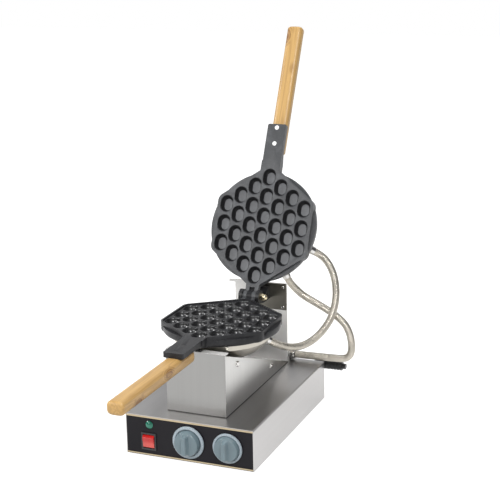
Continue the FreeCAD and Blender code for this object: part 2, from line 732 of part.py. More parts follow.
def column():
    half = COLUMN_WIDTH / 2
    plate = box(-half, half, COLUMN_FRONT_Y, column_back_y, base_top, column_top)
    foot = box(-half, COLUMN_FOOT_RIGHT, COLUMN_FRONT_Y, column_back_y + COLUMN_FOOT_DEPTH,
               base_top, base_top + COLUMN_THICKNESS)
    tab_top = column_top - COLUMN_TAB_DROP
    tab = box(-half - COLUMN_TAB_LENGTH, -half, COLUMN_FRONT_Y, column_back_y,
              tab_top - COLUMN_TAB_HEIGHT, tab_top)
    start_y = COLUMN_FRONT_Y - OVERCUT
    through = COLUMN_THICKNESS + 2 * OVERCUT
    holes = [rod(Vector(0, start_y, HINGE_HEIGHT), Y_AXIS, bush_radius, through)]
    for x, z in bearing_screw_places():
        holes.append(rod(Vector(x, start_y, z), Y_AXIS, SMALL_SCREW_RADIUS, through))
    for x, y in column_screw_places():
        holes.append(rod(Vector(x, y, base_top - OVERCUT), Z_AXIS, SCREW_RADIUS, through))
    return cut(fuse([plate, foot, tab]), holes)


def bearing_plate():
    plate = box(BEARING_PLATE_LEFT, BEARING_PLATE_RIGHT, bearing_front_y, COLUMN_FRONT_Y,
                column_top - BEARING_PLATE_HEIGHT, column_top)
    start_y = bearing_front_y - OVERCUT
    through = BEARING_PLATE_THICKNESS + 2 * OVERCUT
    holes = [rod(Vector(0, start_y, HINGE_HEIGHT), Y_AXIS, bush_radius, through)]
    for x, z in bearing_screw_places():
        holes.append(rod(Vector(x, start_y, z), Y_AXIS, SMALL_SCREW_RADIUS, through))
    return cut(plate, holes)


def bearing_screws():
    return group([pan_screw(Vector(x, bearing_front_y, z), Y_AXIS * -1, SMALL_SCREW_RADIUS,
                            SMALL_SCREW_HEAD_RADIUS, SMALL_SCREW_HEAD_HEIGHT, SMALL_SCREW_LENGTH)
                  for x, z in bearing_screw_places()])


def bearing_bush():
    length = BEARING_PLATE_THICKNESS + COLUMN_THICKNESS
    sleeve = rod(Vector(0, bearing_front_y, HINGE_HEIGHT), Y_AXIS, bush_radius, length)
    flange = rod(Vector(0, column_back_y, HINGE_HEIGHT), Y_AXIS, BUSH_FLANGE_RADIUS, BUSH_FLANGE_THICKNESS)
    bore = rod(Vector(0, bearing_front_y - OVERCUT, HINGE_HEIGHT), Y_AXIS, SHAFT_RADIUS + RUNNING_FIT,
               length + BUSH_FLANGE_THICKNESS + 2 * OVERCUT)
    return cut(fuse([sleeve, flange]), [bore])


# ---- turning head ----

def yoke():
    def side_view(points, x0, x1):
        outline = [Vector(x0, HINGE_Y + y, HINGE_HEIGHT + z) for y, z in points]
        return prism(outline, Vector(x1 - x0, 0, 0))

    back = yoke_back_y - HINGE_Y
    block = side_view([(YOKE_FRONT, -YOKE_DROP), (YOKE_FRONT, YOKE_LOW_TOP), (YOKE_STEP_START, YOKE_LOW_TOP),
                       (YOKE_STEP_END, YOKE_HIGH_TOP), (back, YOKE_HIGH_TOP), (back, -YOKE_DROP)],
                      -ear_outer, ear_outer)
    parts = [block]
    for side in (-1, 1):
        x0, x1 = sorted((side * ear_inner, side * ear_outer))
        parts.append(rod(Vector(x0, HINGE_Y, HINGE_HEIGHT), X_AXIS, EAR_RADIUS, EAR_WIDTH))
        parts.append(side_view([(0, -EAR_RADIUS), (0, YOKE_LOW_TOP), (YOKE_FRONT, YOKE_LOW_TOP),
                                (YOKE_FRONT, -YOKE_DROP)], x0, x1))
    shape = fuse(parts)
    pin_hole = rod(Vector(-ear_outer - OVERCUT, HINGE_Y, HINGE_HEIGHT), X_AXIS, PIN_RADIUS,
                   2 * (ear_outer + OVERCUT))
    seat = rod(Vector(0, yoke_back_y - SHAFT_SEAT, HINGE_HEIGHT), Y_AXIS, SHAFT_RADIUS, SHAFT_SEAT + OVERCUT)
    return cut(shape, [pin_hole, seat])


def shaft_end_y():
    return column_back_y + BUSH_FLANGE_THICKNESS + SEAT_GAP + NUT_THICKNESS + SHAFT_END


def pivot_shaft():
    start = yoke_back_y - SHAFT_SEAT
    return rod(Vector(0, start, HINGE_HEIGHT), Y_AXIS, SHAFT_RADIUS, shaft_end_y() - start)


def pivot_nut():
    start = Vector(0, column_back_y + BUSH_FLANGE_THICKNESS + SEAT_GAP, HINGE_HEIGHT)
    nut = hex_prism(NUT_ACROSS_FLATS, NUT_THICKNESS, start, Y_AXIS)
    return cut(nut, [rod(start - Y_AXIS, Y_AXIS, SHAFT_RADIUS, NUT_THICKNESS + 2)])


def hinge_pin():
    start = -ear_outer
    shank = rod(Vector(start, HINGE_Y, HINGE_HEIGHT), X_AXIS, PIN_RADIUS, 2 * ear_outer + ACORN_HEX)
    head = rod(Vector(start - PIN_HEAD_THICKNESS, HINGE_Y, HINGE_HEIGHT), X_AXIS,
               PIN_HEAD_RADIUS, PIN_HEAD_THICKNESS)
    return fuse([head, shank])


def acorn_nut():
    start = Vector(ear_outer, HINGE_Y, HINGE_HEIGHT)
    nut = hex_prism(ACORN_ACROSS_FLATS, ACORN_HEX, start, X_AXIS)
    dome_radius = ACORN_ACROSS_FLATS / 2
    dome = domed(dome_radius, ACORN_LENGTH - ACORN_HEX - dome_radius, ACORN_LENGTH - ACORN_HEX)
    dome.Placement = FreeCAD.Placement(start + X_AXIS * ACORN_HEX, FreeCAD.Rotation(Z_AXIS, X_AXIS))
    return cut(fuse([nut, dome]), [rod(start - X_AXIS, X_AXIS, PIN_RADIUS, ACORN_HEX + 1)])


# ---- cast plates: built about the pattern's centre, cooking face up at z = 0, hinge towards +Y ----

def place_lower(shape):
    placed = shape.copy()
    placed.translate(Vector(0, centre_y, HINGE_HEIGHT))
    return placed


def place_upper(shape):
    """Turn a pan piece over on to the lower one and swing it open about the hinge pin."""
    placed = shape.copy()
    placed.rotate(Vector(0, 0, 0), Y_AXIS, 180)
    placed.translate(Vector(0, centre_y, HINGE_HEIGHT))
    placed.rotate(HINGE_POINT, X_AXIS, -LID_OPENING)
    return placed


def hexagon(inset):
    """Corner points of the plate's outline, moved in by an inset."""
    slope = math.hypot(HEX_HALF_WIDTH, HEX_TIP - HEX_SHOULDER) / HEX_HALF_WIDTH
    half = HEX_HALF_WIDTH - inset
    tip = HEX_TIP - inset * slope
    shoulder = tip - half * (HEX_TIP - HEX_SHOULDER) / HEX_HALF_WIDTH
    return [(half, shoulder), (0, tip), (-half, shoulder), (-half, -shoulder), (0, -tip), (half, -shoulder)]


def cell_places():
    places = []
    columns = CELL_ROWS // 2
    for column_index in range(-columns, columns + 1):
        count = CELL_ROWS - abs(column_index)
        for row in range(count):
            places.append((column_index * CELL_PITCH_ACROSS, (row - (count - 1) / 2) * CELL_PITCH_ALONG))
    return places


def cell_cutter(top):
    """One oval egg cell: a tapered bowl drawn out along its length."""
    stretch = CELL_HALF_LENGTH - CELL_HALF_WIDTH
    profile = [(0, top + OVERCUT), (CELL_HALF_WIDTH, top + OVERCUT), (CELL_HALF_WIDTH, top),
               (CELL_BREAK_RADIUS, top - CELL_WALL_BREAK), (CELL_FLOOR_RADIUS, top - CELL_DEPTH),
               (0, top - CELL_DEPTH)]
    far = revolved(profile, 180.0)
    far.translate(Vector(0, stretch, 0))
    near = revolved(profile, 180.0)
    near.rotate(Vector(0, 0, 0), Z_AXIS, 180)
    near.translate(Vector(0, -stretch, 0))
    section = [Vector(r, -stretch, z) for r, z in profile[1:5]]
    section += [Vector(-r, -stretch, z) for r, z in reversed(profile[1:5])]
    middle = prism(section, Vector(0, 2 * stretch, 0))
    return fuse([far, middle, near])


def plate_body():
    """The shared casting: a raised hexagon on a round flange, with its neck."""
    edge = PLATE_EDGE_RADIUS
    arc_steps = 4
    rim = [(FLANGE_RADIUS - edge + edge * math.cos(math.radians(90.0 * k / arc_steps)),
            plate_bottom + edge - edge * math.sin(math.radians(90.0 * k / arc_steps)))
           for k in range(arc_steps + 1)]
    disc = revolved([(0, -HEX_RAISE), (FLANGE_RADIUS, -HEX_RAISE)] + rim + [(0, plate_bottom)])
    block = level_prism(hexagon(0), HEX_CORNER, plate_bottom, face_z)
    low_edges = [item for item in block.Edges if abs(item.CenterOfMass.z - plate_bottom) < 0.01]
    block = block.makeFillet(edge, low_edges)
    half = NECK_WIDTH / 2
    neck = level_prism([(-half, -NECK_END), (half, -NECK_END), (half, -HEX_SHOULDER), (-half, -HEX_SHOULDER)],
                       NECK_CORNER, -NECK_THICKNESS, face_z)
    wide = half + NECK_STEP
    shoulder = level_prism([(-half, -NECK_SHOULDER), (wide, -NECK_SHOULDER), (wide, -HEX_SHOULDER),
                            (-half, -HEX_SHOULDER)], NECK_STEP / 2, -NECK_THICKNESS, face_z)
    ribs = []
    for side in (-1, 1):
        x0, x1 = sorted((side * half, side * (half - NECK_RIB_WIDTH)))
        ribs.append(prism([Vector(x0, -HEX_SHOULDER, plate_bottom + edge),
                           Vector(x0, -HEX_TIP, plate_bottom + edge),
                           Vector(x0, -GRIP_START + RISER_SHEET, -NECK_THICKNESS),
                           Vector(x0, -HEX_SHOULDER, -NECK_THICKNESS)], Vector(x1 - x0, 0, 0)))
    return fuse([disc, block, neck, shoulder] + ribs)


def grip_screw_hole(at):
    centre = Vector(0, -at, face_z)
    shank = rod(centre + Z_AXIS * OVERCUT, Z_AXIS * -1, SCREW_RADIUS, GRIP_SCREW_LENGTH + OVERCUT)
    return [shank, Part.makeCone(GRIP_SCREW_HEAD_RADIUS, SCREW_RADIUS, GRIP_SCREW_HEAD_DEPTH,
                                 centre, Z_AXIS * -1)]


def lug(x0, x1):
    """A hinge lug from the plate's tip to the pin, in a plate's own frame."""
    pin_y = PATTERN_OFFSET
    knuckle = rod(Vector(x0, pin_y, 0), X_AXIS, LUG_RADIUS, x1 - x0)
    web = box(x0, x1, HEX_TIP - HEX_CORNER, pin_y, -LUG_RADIUS, face_z)
    return [knuckle, web]


def pin_bore():
    return rod(Vector(-ear_outer, PATTERN_OFFSET, 0), X_AXIS, PIN_RADIUS + RUNNING_FIT, 2 * ear_outer)


def cover_screw_places():
    step = 360.0 / COVER_SCREW_COUNT
    return [(COVER_SCREW_CIRCLE * math.cos(math.radians(step * k)),
             COVER_SCREW_CIRCLE * math.sin(math.radians(step * k))) for k in range(COVER_SCREW_COUNT)]


def plate_holes():
    holes = [pin_bore()]
    for at in GRIP_SCREW_AT:
        holes += grip_screw_hole(at)
    for x, y in cover_screw_places():
        holes.append(rod(Vector(x, y, plate_bottom - OVERCUT), Z_AXIS, SMALL_SCREW_RADIUS,
                         SMALL_SCREW_LENGTH + OVERCUT - COVER_SHEET))
    return holes


def lower_plate():
    body = fuse([plate_body()] + lug(-lug_half, lug_half))
    land = face_z - WEB_THICKNESS
    recess = level_prism(hexagon(RIM_WIDTH), HEX_CORNER - RIM_WIDTH, land, face_z + OVERCUT)
    cutter = cell_cutter(land)
    cells = []
    for x, y in cell_places():
        cell = cutter.copy()
        cell.translate(Vector(x, y, 0))
        cells.append(cell)
    body = cut(body, [recess] + cells + plate_holes())
    return place_lower(fuse([body, rest_pad()]))


def rest_pad():
    """The pad that carries the lower plate on the riser's front flange."""
    pad_centre = riser_front_y + RISER_FLANGE / 2 - centre_y
    pad_bottom = plate_bottom - REST_PAD_HEIGHT
    return box(-PAD_WIDTH / 2, PAD_WIDTH / 2, pad_centre - PAD_LENGTH / 2, pad_centre + PAD_LENGTH / 2,
               pad_bottom, plate_bottom + PLATE_EDGE_RADIUS)


def upper_plate():
    body = plate_body()
    for x0, x1 in ((-side_lug_outer, -side_lug_inner), (side_lug_inner, side_lug_outer)):
        body = fuse([body] + lug(x0, x1))
    cutter = cell_cutter(face_z)
    cells = []
    for x, y in cell_places():
        cell = cutter.copy()
        cell.translate(Vector(x, y, 0))
        cells.append(cell)
    body = place_upper(cut(body, cells + plate_holes()))
    return fuse([body] + stop_heels())


def stop_heels():
    """Heels on the lid's lugs that meet the lower plate's end when the lid is fully open."""
    tip_round = HEX_CORNER * (1 / math.cos(math.atan2(HEX_TIP - HEX_SHOULDER, HEX_HALF_WIDTH)) - 1)
    reach = PATTERN_OFFSET - HEX_TIP + tip_round - SEAT_GAP
    heels = []
    for x0, x1 in ((-side_lug_outer, -side_lug_inner), (side_lug_inner, side_lug_outer)):
        heel = box(x0, x1, HINGE_Y - reach, HINGE_Y - PIN_RADIUS - OVERCUT,
                   HINGE_HEIGHT - HEEL_HEIGHT, HINGE_HEIGHT - OVERCUT)
        heels.append(heel)
    return heels


# ---- pan fittings, in a plate's own frame ----

def grip():
    half = GRIP_WIDTH / 2
    section = level_prism([(-half, 0), (half, 0), (half, GRIP_THICKNESS), (-half, GRIP_THICKNESS)],
                          GRIP_CORNER, 0, GRIP_END - GRIP_START)
    section.rotate(Vector(0, 0, 0), X_AXIS, 90)
    section.rotate(Vector(0, 0, 0), Y_AXIS, 180)
    section.translate(Vector(0, -GRIP_START, -NECK_THICKNESS))
    holes = []
    for at in GRIP_SCREW_AT:
        holes.append(rod(Vector(0, -at, 0), Z_AXIS * -1, SCREW_RADIUS, GRIP_SCREW_LENGTH - face_z))
    return cut(section, holes)


def grip_screws():
    screws = []
    for at in GRIP_SCREW_AT:
        top = Vector(0, -at, face_z)
        head = Part.makeCone(GRIP_SCREW_HEAD_RADIUS, SCREW_RADIUS, GRIP_SCREW_HEAD_DEPTH, top, Z_AXIS * -1)
        shank = rod(top, Z_AXIS * -1, SCREW_RADIUS, GRIP_SCREW_LENGTH)
        screws.append(fuse([head, shank]))
    return group(screws)


def heater_ring():
    """A tubular heater bent to an open ring under the casting, with two terminal pins."""
    ring_z = plate_bottom - SEAT_GAP - HEATER_TUBE_RADIUS
    tube = Part.makeTorus(HEATER_RING_RADIUS, HEATER_TUBE_RADIUS, Vector(0, 0, ring_z), Z_AXIS,
                          -180, 180, HEATER_SWEEP)
    opening = (360.0 - HEATER_SWEEP) / 2
    tube.rotate(Vector(0, 0, ring_z), Z_AXIS, 90 + opening)
    pins = []
    for side in (-1, 1):
        angle = math.radians(90 + side * (opening + TERMINAL_ANGLE))
        foot = Vector(HEATER_RING_RADIUS * math.cos(angle), HEATER_RING_RADIUS * math.sin(angle), ring_z)
        pins.append(rod(foot, Z_AXIS * -1, TERMINAL_RADIUS, HEATER_TUBE_RADIUS + TERMINAL_LENGTH))
    return fuse([tube] + pins)


def heater_clamp():
    """A bar that holds the heater ring up against the casting."""
    top = plate_bottom - 2 * (HEATER_TUBE_RADIUS + SEAT_GAP)
    reach = HEATER_RING_RADIUS + HEATER_TUBE_RADIUS + CLAMP_OVERHANG
    bar = box(-reach, reach, -CLAMP_WIDTH / 2, CLAMP_WIDTH / 2, top - CLAMP_THICKNESS, top)
    post = rod(Vector(0, 0, top), Z_AXIS, CLAMP_POST_RADIUS, plate_bottom - top)
    return fuse([bar, post])


def cover_outline(inset):
    """The cover's side view: a short upright wall that runs into a shallow bowl."""
    top = plate_bottom
    wall_low = top - COVER_STRAIGHT
    slant = inset * math.sqrt(0.5)
    wall = Vector(COVER_RADIUS - inset, 0, wall_low)
    waist = Vector(COVER_WAIST_RADIUS - slant, 0, top - COVER_WAIST_DEPTH + slant)
    floor = Vector(COVER_FLOOR_RADIUS, 0, top - COVER_DEPTH + inset)
    return wall, waist, floor


def bowl_solid(inset, top):
    wall, waist, floor = cover_outline(inset)
    axis_top = Vector(0, 0, top)
    edges = [Part.LineSegment(axis_top, Vector(wall.x, 0, top)).toShape(),
             Part.LineSegment(Vector(wall.x, 0, top), wall).toShape(),
             Part.Arc(wall, waist, floor).toShape(),
             Part.LineSegment(floor, Vector(0, 0, floor.z)).toShape(),
             Part.LineSegment(Vector(0, 0, floor.z), axis_top).toShape()]
    return Part.Face(Part.Wire(edges)).revolve(Vector(0, 0, 0), Z_AXIS, 360)


def gland_axis(aim):
    """Start point and outward direction of a gland on the cover, in a plate's own frame."""
    angle = math.radians(aim[0])
    tilt = math.radians(aim[1])
    radial = Vector(math.cos(angle), math.sin(angle), 0)
    direction = radial * math.cos(tilt) - Z_AXIS * math.sin(tilt)
    start = radial * GLAND_CIRCLE + Vector(0, 0, plate_bottom - GLAND_DEPTH)
    return start, direction


def heater_cover(aims):
    outer = bowl_solid(0, plate_bottom)
    flange = Part.makeCylinder(COVER_FLANGE_RADIUS, COVER_SHEET, Vector(0, 0, plate_bottom - COVER_SHEET))
    inner = bowl_solid(COVER_SHEET, plate_bottom + OVERCUT)
    holes = [rod(Vector(x, y, plate_bottom - COVER_SHEET - OVERCUT), Z_AXIS, SMALL_SCREW_RADIUS,
                 COVER_SHEET + 2 * OVERCUT) for x, y in cover_screw_places()]
    for aim in aims:
        start, direction = gland_axis(aim)
        holes.append(rod(start - direction * GLAND_REACH, direction, GLAND_TUBE_RADIUS, 2 * GLAND_REACH))
    return cut(fuse([outer, flange]), [inner] + holes)


def cover_screws():
    return group([pan_screw(Vector(x, y, plate_bottom - COVER_SHEET), Z_AXIS * -1, SMALL_SCREW_RADIUS,
                            SMALL_SCREW_HEAD_RADIUS, SMALL_SCREW_HEAD_HEIGHT,
                            SMALL_SCREW_LENGTH - OVERCUT) for x, y in cover_screw_places()])


def cover_gland(aim):
    """A hexagon gland that carries a hose out of a heater cover."""
    start, direction = gland_axis(aim)
    hex_start = GLAND_REACH - GLAND_HEX_LENGTH - GLAND_NIPPLE_LENGTH
    root = rod(start - direction * GLAND_ROOT, direction, GLAND_TUBE_RADIUS, GLAND_ROOT + GLAND_REACH)
    nut = hex_prism(GLAND_HEX, GLAND_HEX_LENGTH, start + direction * hex_start, direction)
    nipple = rod(start + direction * (GLAND_REACH - GLAND_NIPPLE_LENGTH), direction,
                 GLAND_NIPPLE_RADIUS, GLAND_NIPPLE_LENGTH)
    return fuse([root, nut, nipple])


# ---- base fittings for the cables ----

def base_gland():
    """An elbow that brings the feed hose up out of the base's top."""
    height = base_gland_height
    upright = rod(Vector(BASE_GLAND_X, base_gland_y, base_top), Z_AXIS,
                  BASE_GLAND_BODY_RADIUS, height - base_top)
    ball = Part.makeSphere(BASE_GLAND_BODY_RADIUS, Vector(BASE_GLAND_X, base_gland_y, height))
    arm = rod(Vector(BASE_GLAND_X, base_gland_y, height), X_AXIS, GLAND_NIPPLE_RADIUS, BASE_GLAND_REACH)
    nut = hex_prism(BASE_GLAND_HEX, BASE_GLAND_HEX_LENGTH,
                    Vector(BASE_GLAND_X + BASE_GLAND_HEX_START, base_gland_y, height), X_AXIS)
    tail = rod(Vector(BASE_GLAND_X, base_gland_y, base_top - 2 * BASE_SHEET), Z_AXIS,
               GLAND_TUBE_RADIUS, 3 * BASE_SHEET)
    return fuse([upright, ball, arm, nut, tail])


def power_gland():
    """A black elbow strain relief on the back wall, its mouth towards +X."""
    centre = Vector(POWER_GLAND_X, back_y + POWER_GLAND_STANDOFF, POWER_GLAND_HEIGHT)
    wall_point = Vector(POWER_GLAND_X, back_y, POWER_GLAND_HEIGHT)
    flange = rod(wall_point, Y_AXIS, POWER_GLAND_FLANGE_RADIUS, POWER_GLAND_FLANGE_THICKNESS)
    tail = rod(wall_point - Y_AXIS * 2 * BASE_SHEET, Y_AXIS, GLAND_TUBE_RADIUS, 3 * BASE_SHEET)
    stem = rod(wall_point, Y_AXIS, POWER_GLAND_RADIUS, POWER_GLAND_STANDOFF)
    ball = Part.makeSphere(POWER_GLAND_RADIUS, centre)
    sleeve = rod(centre, X_AXIS, POWER_GLAND_RADIUS, POWER_GLAND_LENGTH)
    tip = rod(centre + X_AXIS * POWER_GLAND_LENGTH, X_AXIS, POWER_GLAND_TIP_RADIUS, POWER_GLAND_TIP_LENGTH)
    shape = fuse([flange, tail, stem, ball, sleeve, tip])
    grooves = []
    pitch = POWER_GLAND_LENGTH / (2 * POWER_GLAND_GROOVES)
    for index in range(POWER_GLAND_GROOVES):
        at = centre + X_AXIS * (POWER_GLAND_LENGTH - pitch * (index + 1))
        ring = rod(at, X_AXIS, POWER_GLAND_RADIUS + OVERCUT, pitch / 2)
        core = rod(at - X_AXIS, X_AXIS, POWER_GLAND_RADIUS - POWER_GLAND_GROOVE_DEPTH, pitch)
        grooves.append(ring.cut(core))
    return cut(shape, grooves)


def terminal_block():
    floor = base_bottom + BASE_SHEET
    half = TERMINAL_BLOCK_LENGTH / 2
    body = box(-half, half, TERMINAL_BLOCK_Y - TERMINAL_BLOCK_WIDTH / 2,
               TERMINAL_BLOCK_Y + TERMINAL_BLOCK_WIDTH / 2, floor, floor + TERMINAL_BLOCK_HEIGHT)
    pitch = TERMINAL_BLOCK_LENGTH / TERMINAL_WAYS
    holes = []
    for index in range(TERMINAL_WAYS):
        x = -half + pitch * (index + 0.5)
        start = Vector(x, TERMINAL_BLOCK_Y - TERMINAL_BLOCK_WIDTH, floor + TERMINAL_BLOCK_HEIGHT / 2)
        holes.append(rod(start, Y_AXIS, TERMINAL_HOLE_RADIUS, 2 * TERMINAL_BLOCK_WIDTH))
    return cut(body, holes)


# ---- hoses ----

def hose_tube(points, name):
    """A tube of straight runs joined by tangent arcs, each arc as large as its runs allow."""
    edges = []
    start = points[0]
    radii = []
    for index in range(1, len(points) - 1):
        here = points[index]
        back = points[index - 1] - here
        onward = points[index + 1] - here
        shorter = min(back.Length, onward.Length)
        back_way = Vector(back).normalize()
        onward_way = Vector(onward).normalize()
        turn = math.pi - math.acos(max(-1.0, min(1.0, back_way.dot(onward_way))))
        reach = ARC_SHARE * shorter
        radius = reach / math.tan(turn / 2)
        radii.append((round(radius, 1), round(math.degrees(turn), 1)))
        arc_start = here + back_way * reach
        arc_end = here + onward_way * reach
        inward = (back_way + onward_way).normalize()
        middle = here + inward * (radius / math.cos(turn / 2) - radius)
        edges.append(Part.LineSegment(start, arc_start).toShape())
        edges.append(Part.Arc(arc_start, middle, arc_end).toShape())
        start = arc_end
    edges.append(Part.LineSegment(start, points[-1]).toShape())
    path = Part.Wire(edges)
    first = Vector(points[1] - points[0]).normalize()
    section = Part.Wire(Part.makeCircle(HOSE_RADIUS, points[0], first))
    tube = path.makePipeShell([section], True, False)
    expected = math.pi * HOSE_RADIUS ** 2 * path.Length
    print(name, "length", round(path.Length, 1), "volume ratio", round(tube.Volume / expected, 4),
          "radius and turn", radii)
    return tube


def gland_mouth(aim, place):
    """World point and outward direction of a cover gland's open end."""
    start, direction = gland_axis(aim)
    mouth = place(Part.Vertex(start + direction * GLAND_REACH)).Point
    beyond = place(Part.Vertex(start + direction * (GLAND_REACH + 1))).Point
    return mouth, beyond - mouth


def link_hose():
    """The hose from the lower heater cover to the upper one."""
    low, low_way = gland_mouth(LOWER_LINK_GLAND, place_lower)
    high, high_way = gland_mouth(UPPER_LINK_GLAND, place_upper)
    points = [low, low + low_way * HOSE_LEAD]
    points += [Vector(*place) for place in LINK_ROUTE]
    points += [high + high_way * HOSE_LEAD, high]
    return hose_tube(points, "hose_link")


def feed_hose():
    """The hose from the base to the upper heater cover."""
    mouth = Vector(BASE_GLAND_X + BASE_GLAND_REACH, base_gland_y, base_gland_height)
    high, high_way = gland_mouth(UPPER_FEED_GLAND, place_upper)
    points = [mouth, mouth + X_AXIS * HOSE_LEAD]
    points += [Vector(*place) for place in FEED_ROUTE]
    points += [high + high_way * HOSE_LEAD, high]
    return hose_tube(points, "hose_feed")


def save(shape, name):
    shape.exportStep("parts/" + name + ".step")


def main():
    os.makedirs("parts", exist_ok=True)
    nodes = {
        "base_shell": base_shell(),
        "bottom_plate": bottom_plate(),
        "feet": feet(),
        "front_panel": front_panel(),
        "panel_trim": panel_trim(),
        "timer_knob": knob(TIMER_X, TIMER_SKIRT_RADIUS, TIMER_CAP_RADIUS),
        "timer_shaft": control_shaft(TIMER_X),
        "timer_body": timer_body(),
        "thermostat_knob": knob(THERMOSTAT_X, THERMOSTAT_SKIRT_RADIUS, THERMOSTAT_CAP_RADIUS),
        "thermostat_shaft": control_shaft(THERMOSTAT_X),
        "thermostat_body": thermostat_body(),
        "indicator_lamp": indicator_lamp(),
        "rocker_housing": rocker_housing(),
        "rocker": rocker(),
        "terminal_block": terminal_block(),
        "riser_bracket": riser_bracket(),
        "riser_screws": riser_screws(),
        "drip_tray": drip_tray(),
        "tray_screws": tray_screws(),
        "column": column(),
        "column_screws": column_screws(),
        "bearing_plate": bearing_plate(),
        "bearing_screws": bearing_screws(),
        "bearing_bush": bearing_bush(),
        "base_gland": base_gland(),
        "power_gland": power_gland(),
        "yoke": yoke(),
        "pivot_shaft": pivot_shaft(),
        "pivot_nut": pivot_nut(),
        "hinge_pin": hinge_pin(),
        "acorn_nut": acorn_nut(),
        "lower_plate": lower_plate(),
        "upper_plate": upper_plate(),
        "hose_link": link_hose(),
        "hose_feed": feed_hose(),
    }
    pans = (("lower", place_lower, (LOWER_LINK_GLAND,)),
            ("upper", place_upper, (UPPER_LINK_GLAND, UPPER_FEED_GLAND)))
    for pan, place, aims in pans:
        nodes[pan + "_grip"] = place(grip())
        nodes[pan + "_grip_screws"] = place(grip_screws())
        nodes[pan + "_heater"] = place(heater_ring())
        nodes[pan + "_heater_clamp"] = place(heater_clamp())
        nodes[pan + "_cover"] = place(heater_cover(aims))
        nodes[pan + "_cover_screws"] = place(cover_screws())
    nodes["lower_gland"] = place_lower(cover_gland(LOWER_LINK_GLAND))
    nodes["upper_gland_link"] = place_upper(cover_gland(UPPER_LINK_GLAND))
    nodes["upper_gland_feed"] = place_upper(cover_gland(UPPER_FEED_GLAND))
    for name, shape in nodes.items():
        save(shape, name)
        box_of = shape.BoundBox
        print("%-20s valid=%s solids=%d vol=%.0f x %.1f..%.1f y %.1f..%.1f z %.1f..%.1f" % (
            name, shape.isValid(), len(shape.Solids), shape.Volume, box_of.XMin, box_of.XMax,
            box_of.YMin, box_of.YMax, box_of.ZMin, box_of.ZMax))


main()
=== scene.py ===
import json
import logging
import math
from dataclasses import dataclass
from enum import Enum
from functools import cache
from typing import Any, Callable, Sequence

import bmesh
import bpy
import numpy as np
from mathutils import Matrix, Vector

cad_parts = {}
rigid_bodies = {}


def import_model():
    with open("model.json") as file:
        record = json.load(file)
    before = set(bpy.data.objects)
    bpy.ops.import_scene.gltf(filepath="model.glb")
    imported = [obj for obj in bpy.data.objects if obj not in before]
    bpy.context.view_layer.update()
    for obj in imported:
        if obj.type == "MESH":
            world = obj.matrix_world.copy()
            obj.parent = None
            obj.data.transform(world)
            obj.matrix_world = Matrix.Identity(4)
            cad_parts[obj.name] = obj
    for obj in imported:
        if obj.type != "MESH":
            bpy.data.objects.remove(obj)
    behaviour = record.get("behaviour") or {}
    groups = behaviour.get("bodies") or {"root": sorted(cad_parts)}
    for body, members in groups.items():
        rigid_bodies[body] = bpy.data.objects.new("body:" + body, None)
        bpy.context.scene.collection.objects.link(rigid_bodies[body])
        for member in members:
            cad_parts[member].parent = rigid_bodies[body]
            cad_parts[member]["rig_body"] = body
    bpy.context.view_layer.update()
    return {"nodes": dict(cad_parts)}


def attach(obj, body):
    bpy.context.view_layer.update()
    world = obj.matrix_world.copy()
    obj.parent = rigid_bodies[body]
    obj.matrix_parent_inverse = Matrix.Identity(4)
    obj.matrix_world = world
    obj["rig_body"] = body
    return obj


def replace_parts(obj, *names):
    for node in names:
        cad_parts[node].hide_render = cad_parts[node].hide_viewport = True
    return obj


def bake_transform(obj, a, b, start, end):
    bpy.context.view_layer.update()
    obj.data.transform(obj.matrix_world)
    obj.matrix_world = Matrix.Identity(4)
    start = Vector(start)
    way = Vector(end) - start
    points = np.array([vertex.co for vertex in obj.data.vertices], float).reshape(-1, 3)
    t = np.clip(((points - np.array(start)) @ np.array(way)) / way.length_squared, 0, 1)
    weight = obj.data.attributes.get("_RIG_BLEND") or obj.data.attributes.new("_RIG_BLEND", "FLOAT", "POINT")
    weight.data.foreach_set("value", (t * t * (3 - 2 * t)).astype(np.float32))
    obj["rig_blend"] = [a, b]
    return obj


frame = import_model()
LOG = logging.getLogger("egg_waffle_pan")

MM = 0.001
CREASE = math.radians(38.0)

# Places shared with the CAD part, in millimetres.
HINGE_Y = 115.7
HINGE_Z = 185.6
LID_OPENING = 116.3
PANEL_Y = -128.8
CONTROL_Z = 34.0
HOSE_DIAMETER = 12.0
WHITE = (1.0, 1.0, 1.0, 1.0)

Triple = tuple[float, float, float]
Placing = Callable[[np.ndarray], np.ndarray]
Piece = bpy.types.Object
Look = bpy.types.Material


class Axis(Enum):
    """The direction that brushing or grain runs in."""

    ACROSS = 0
    ALONG = 1
    UP = 2


# ---- shader graph

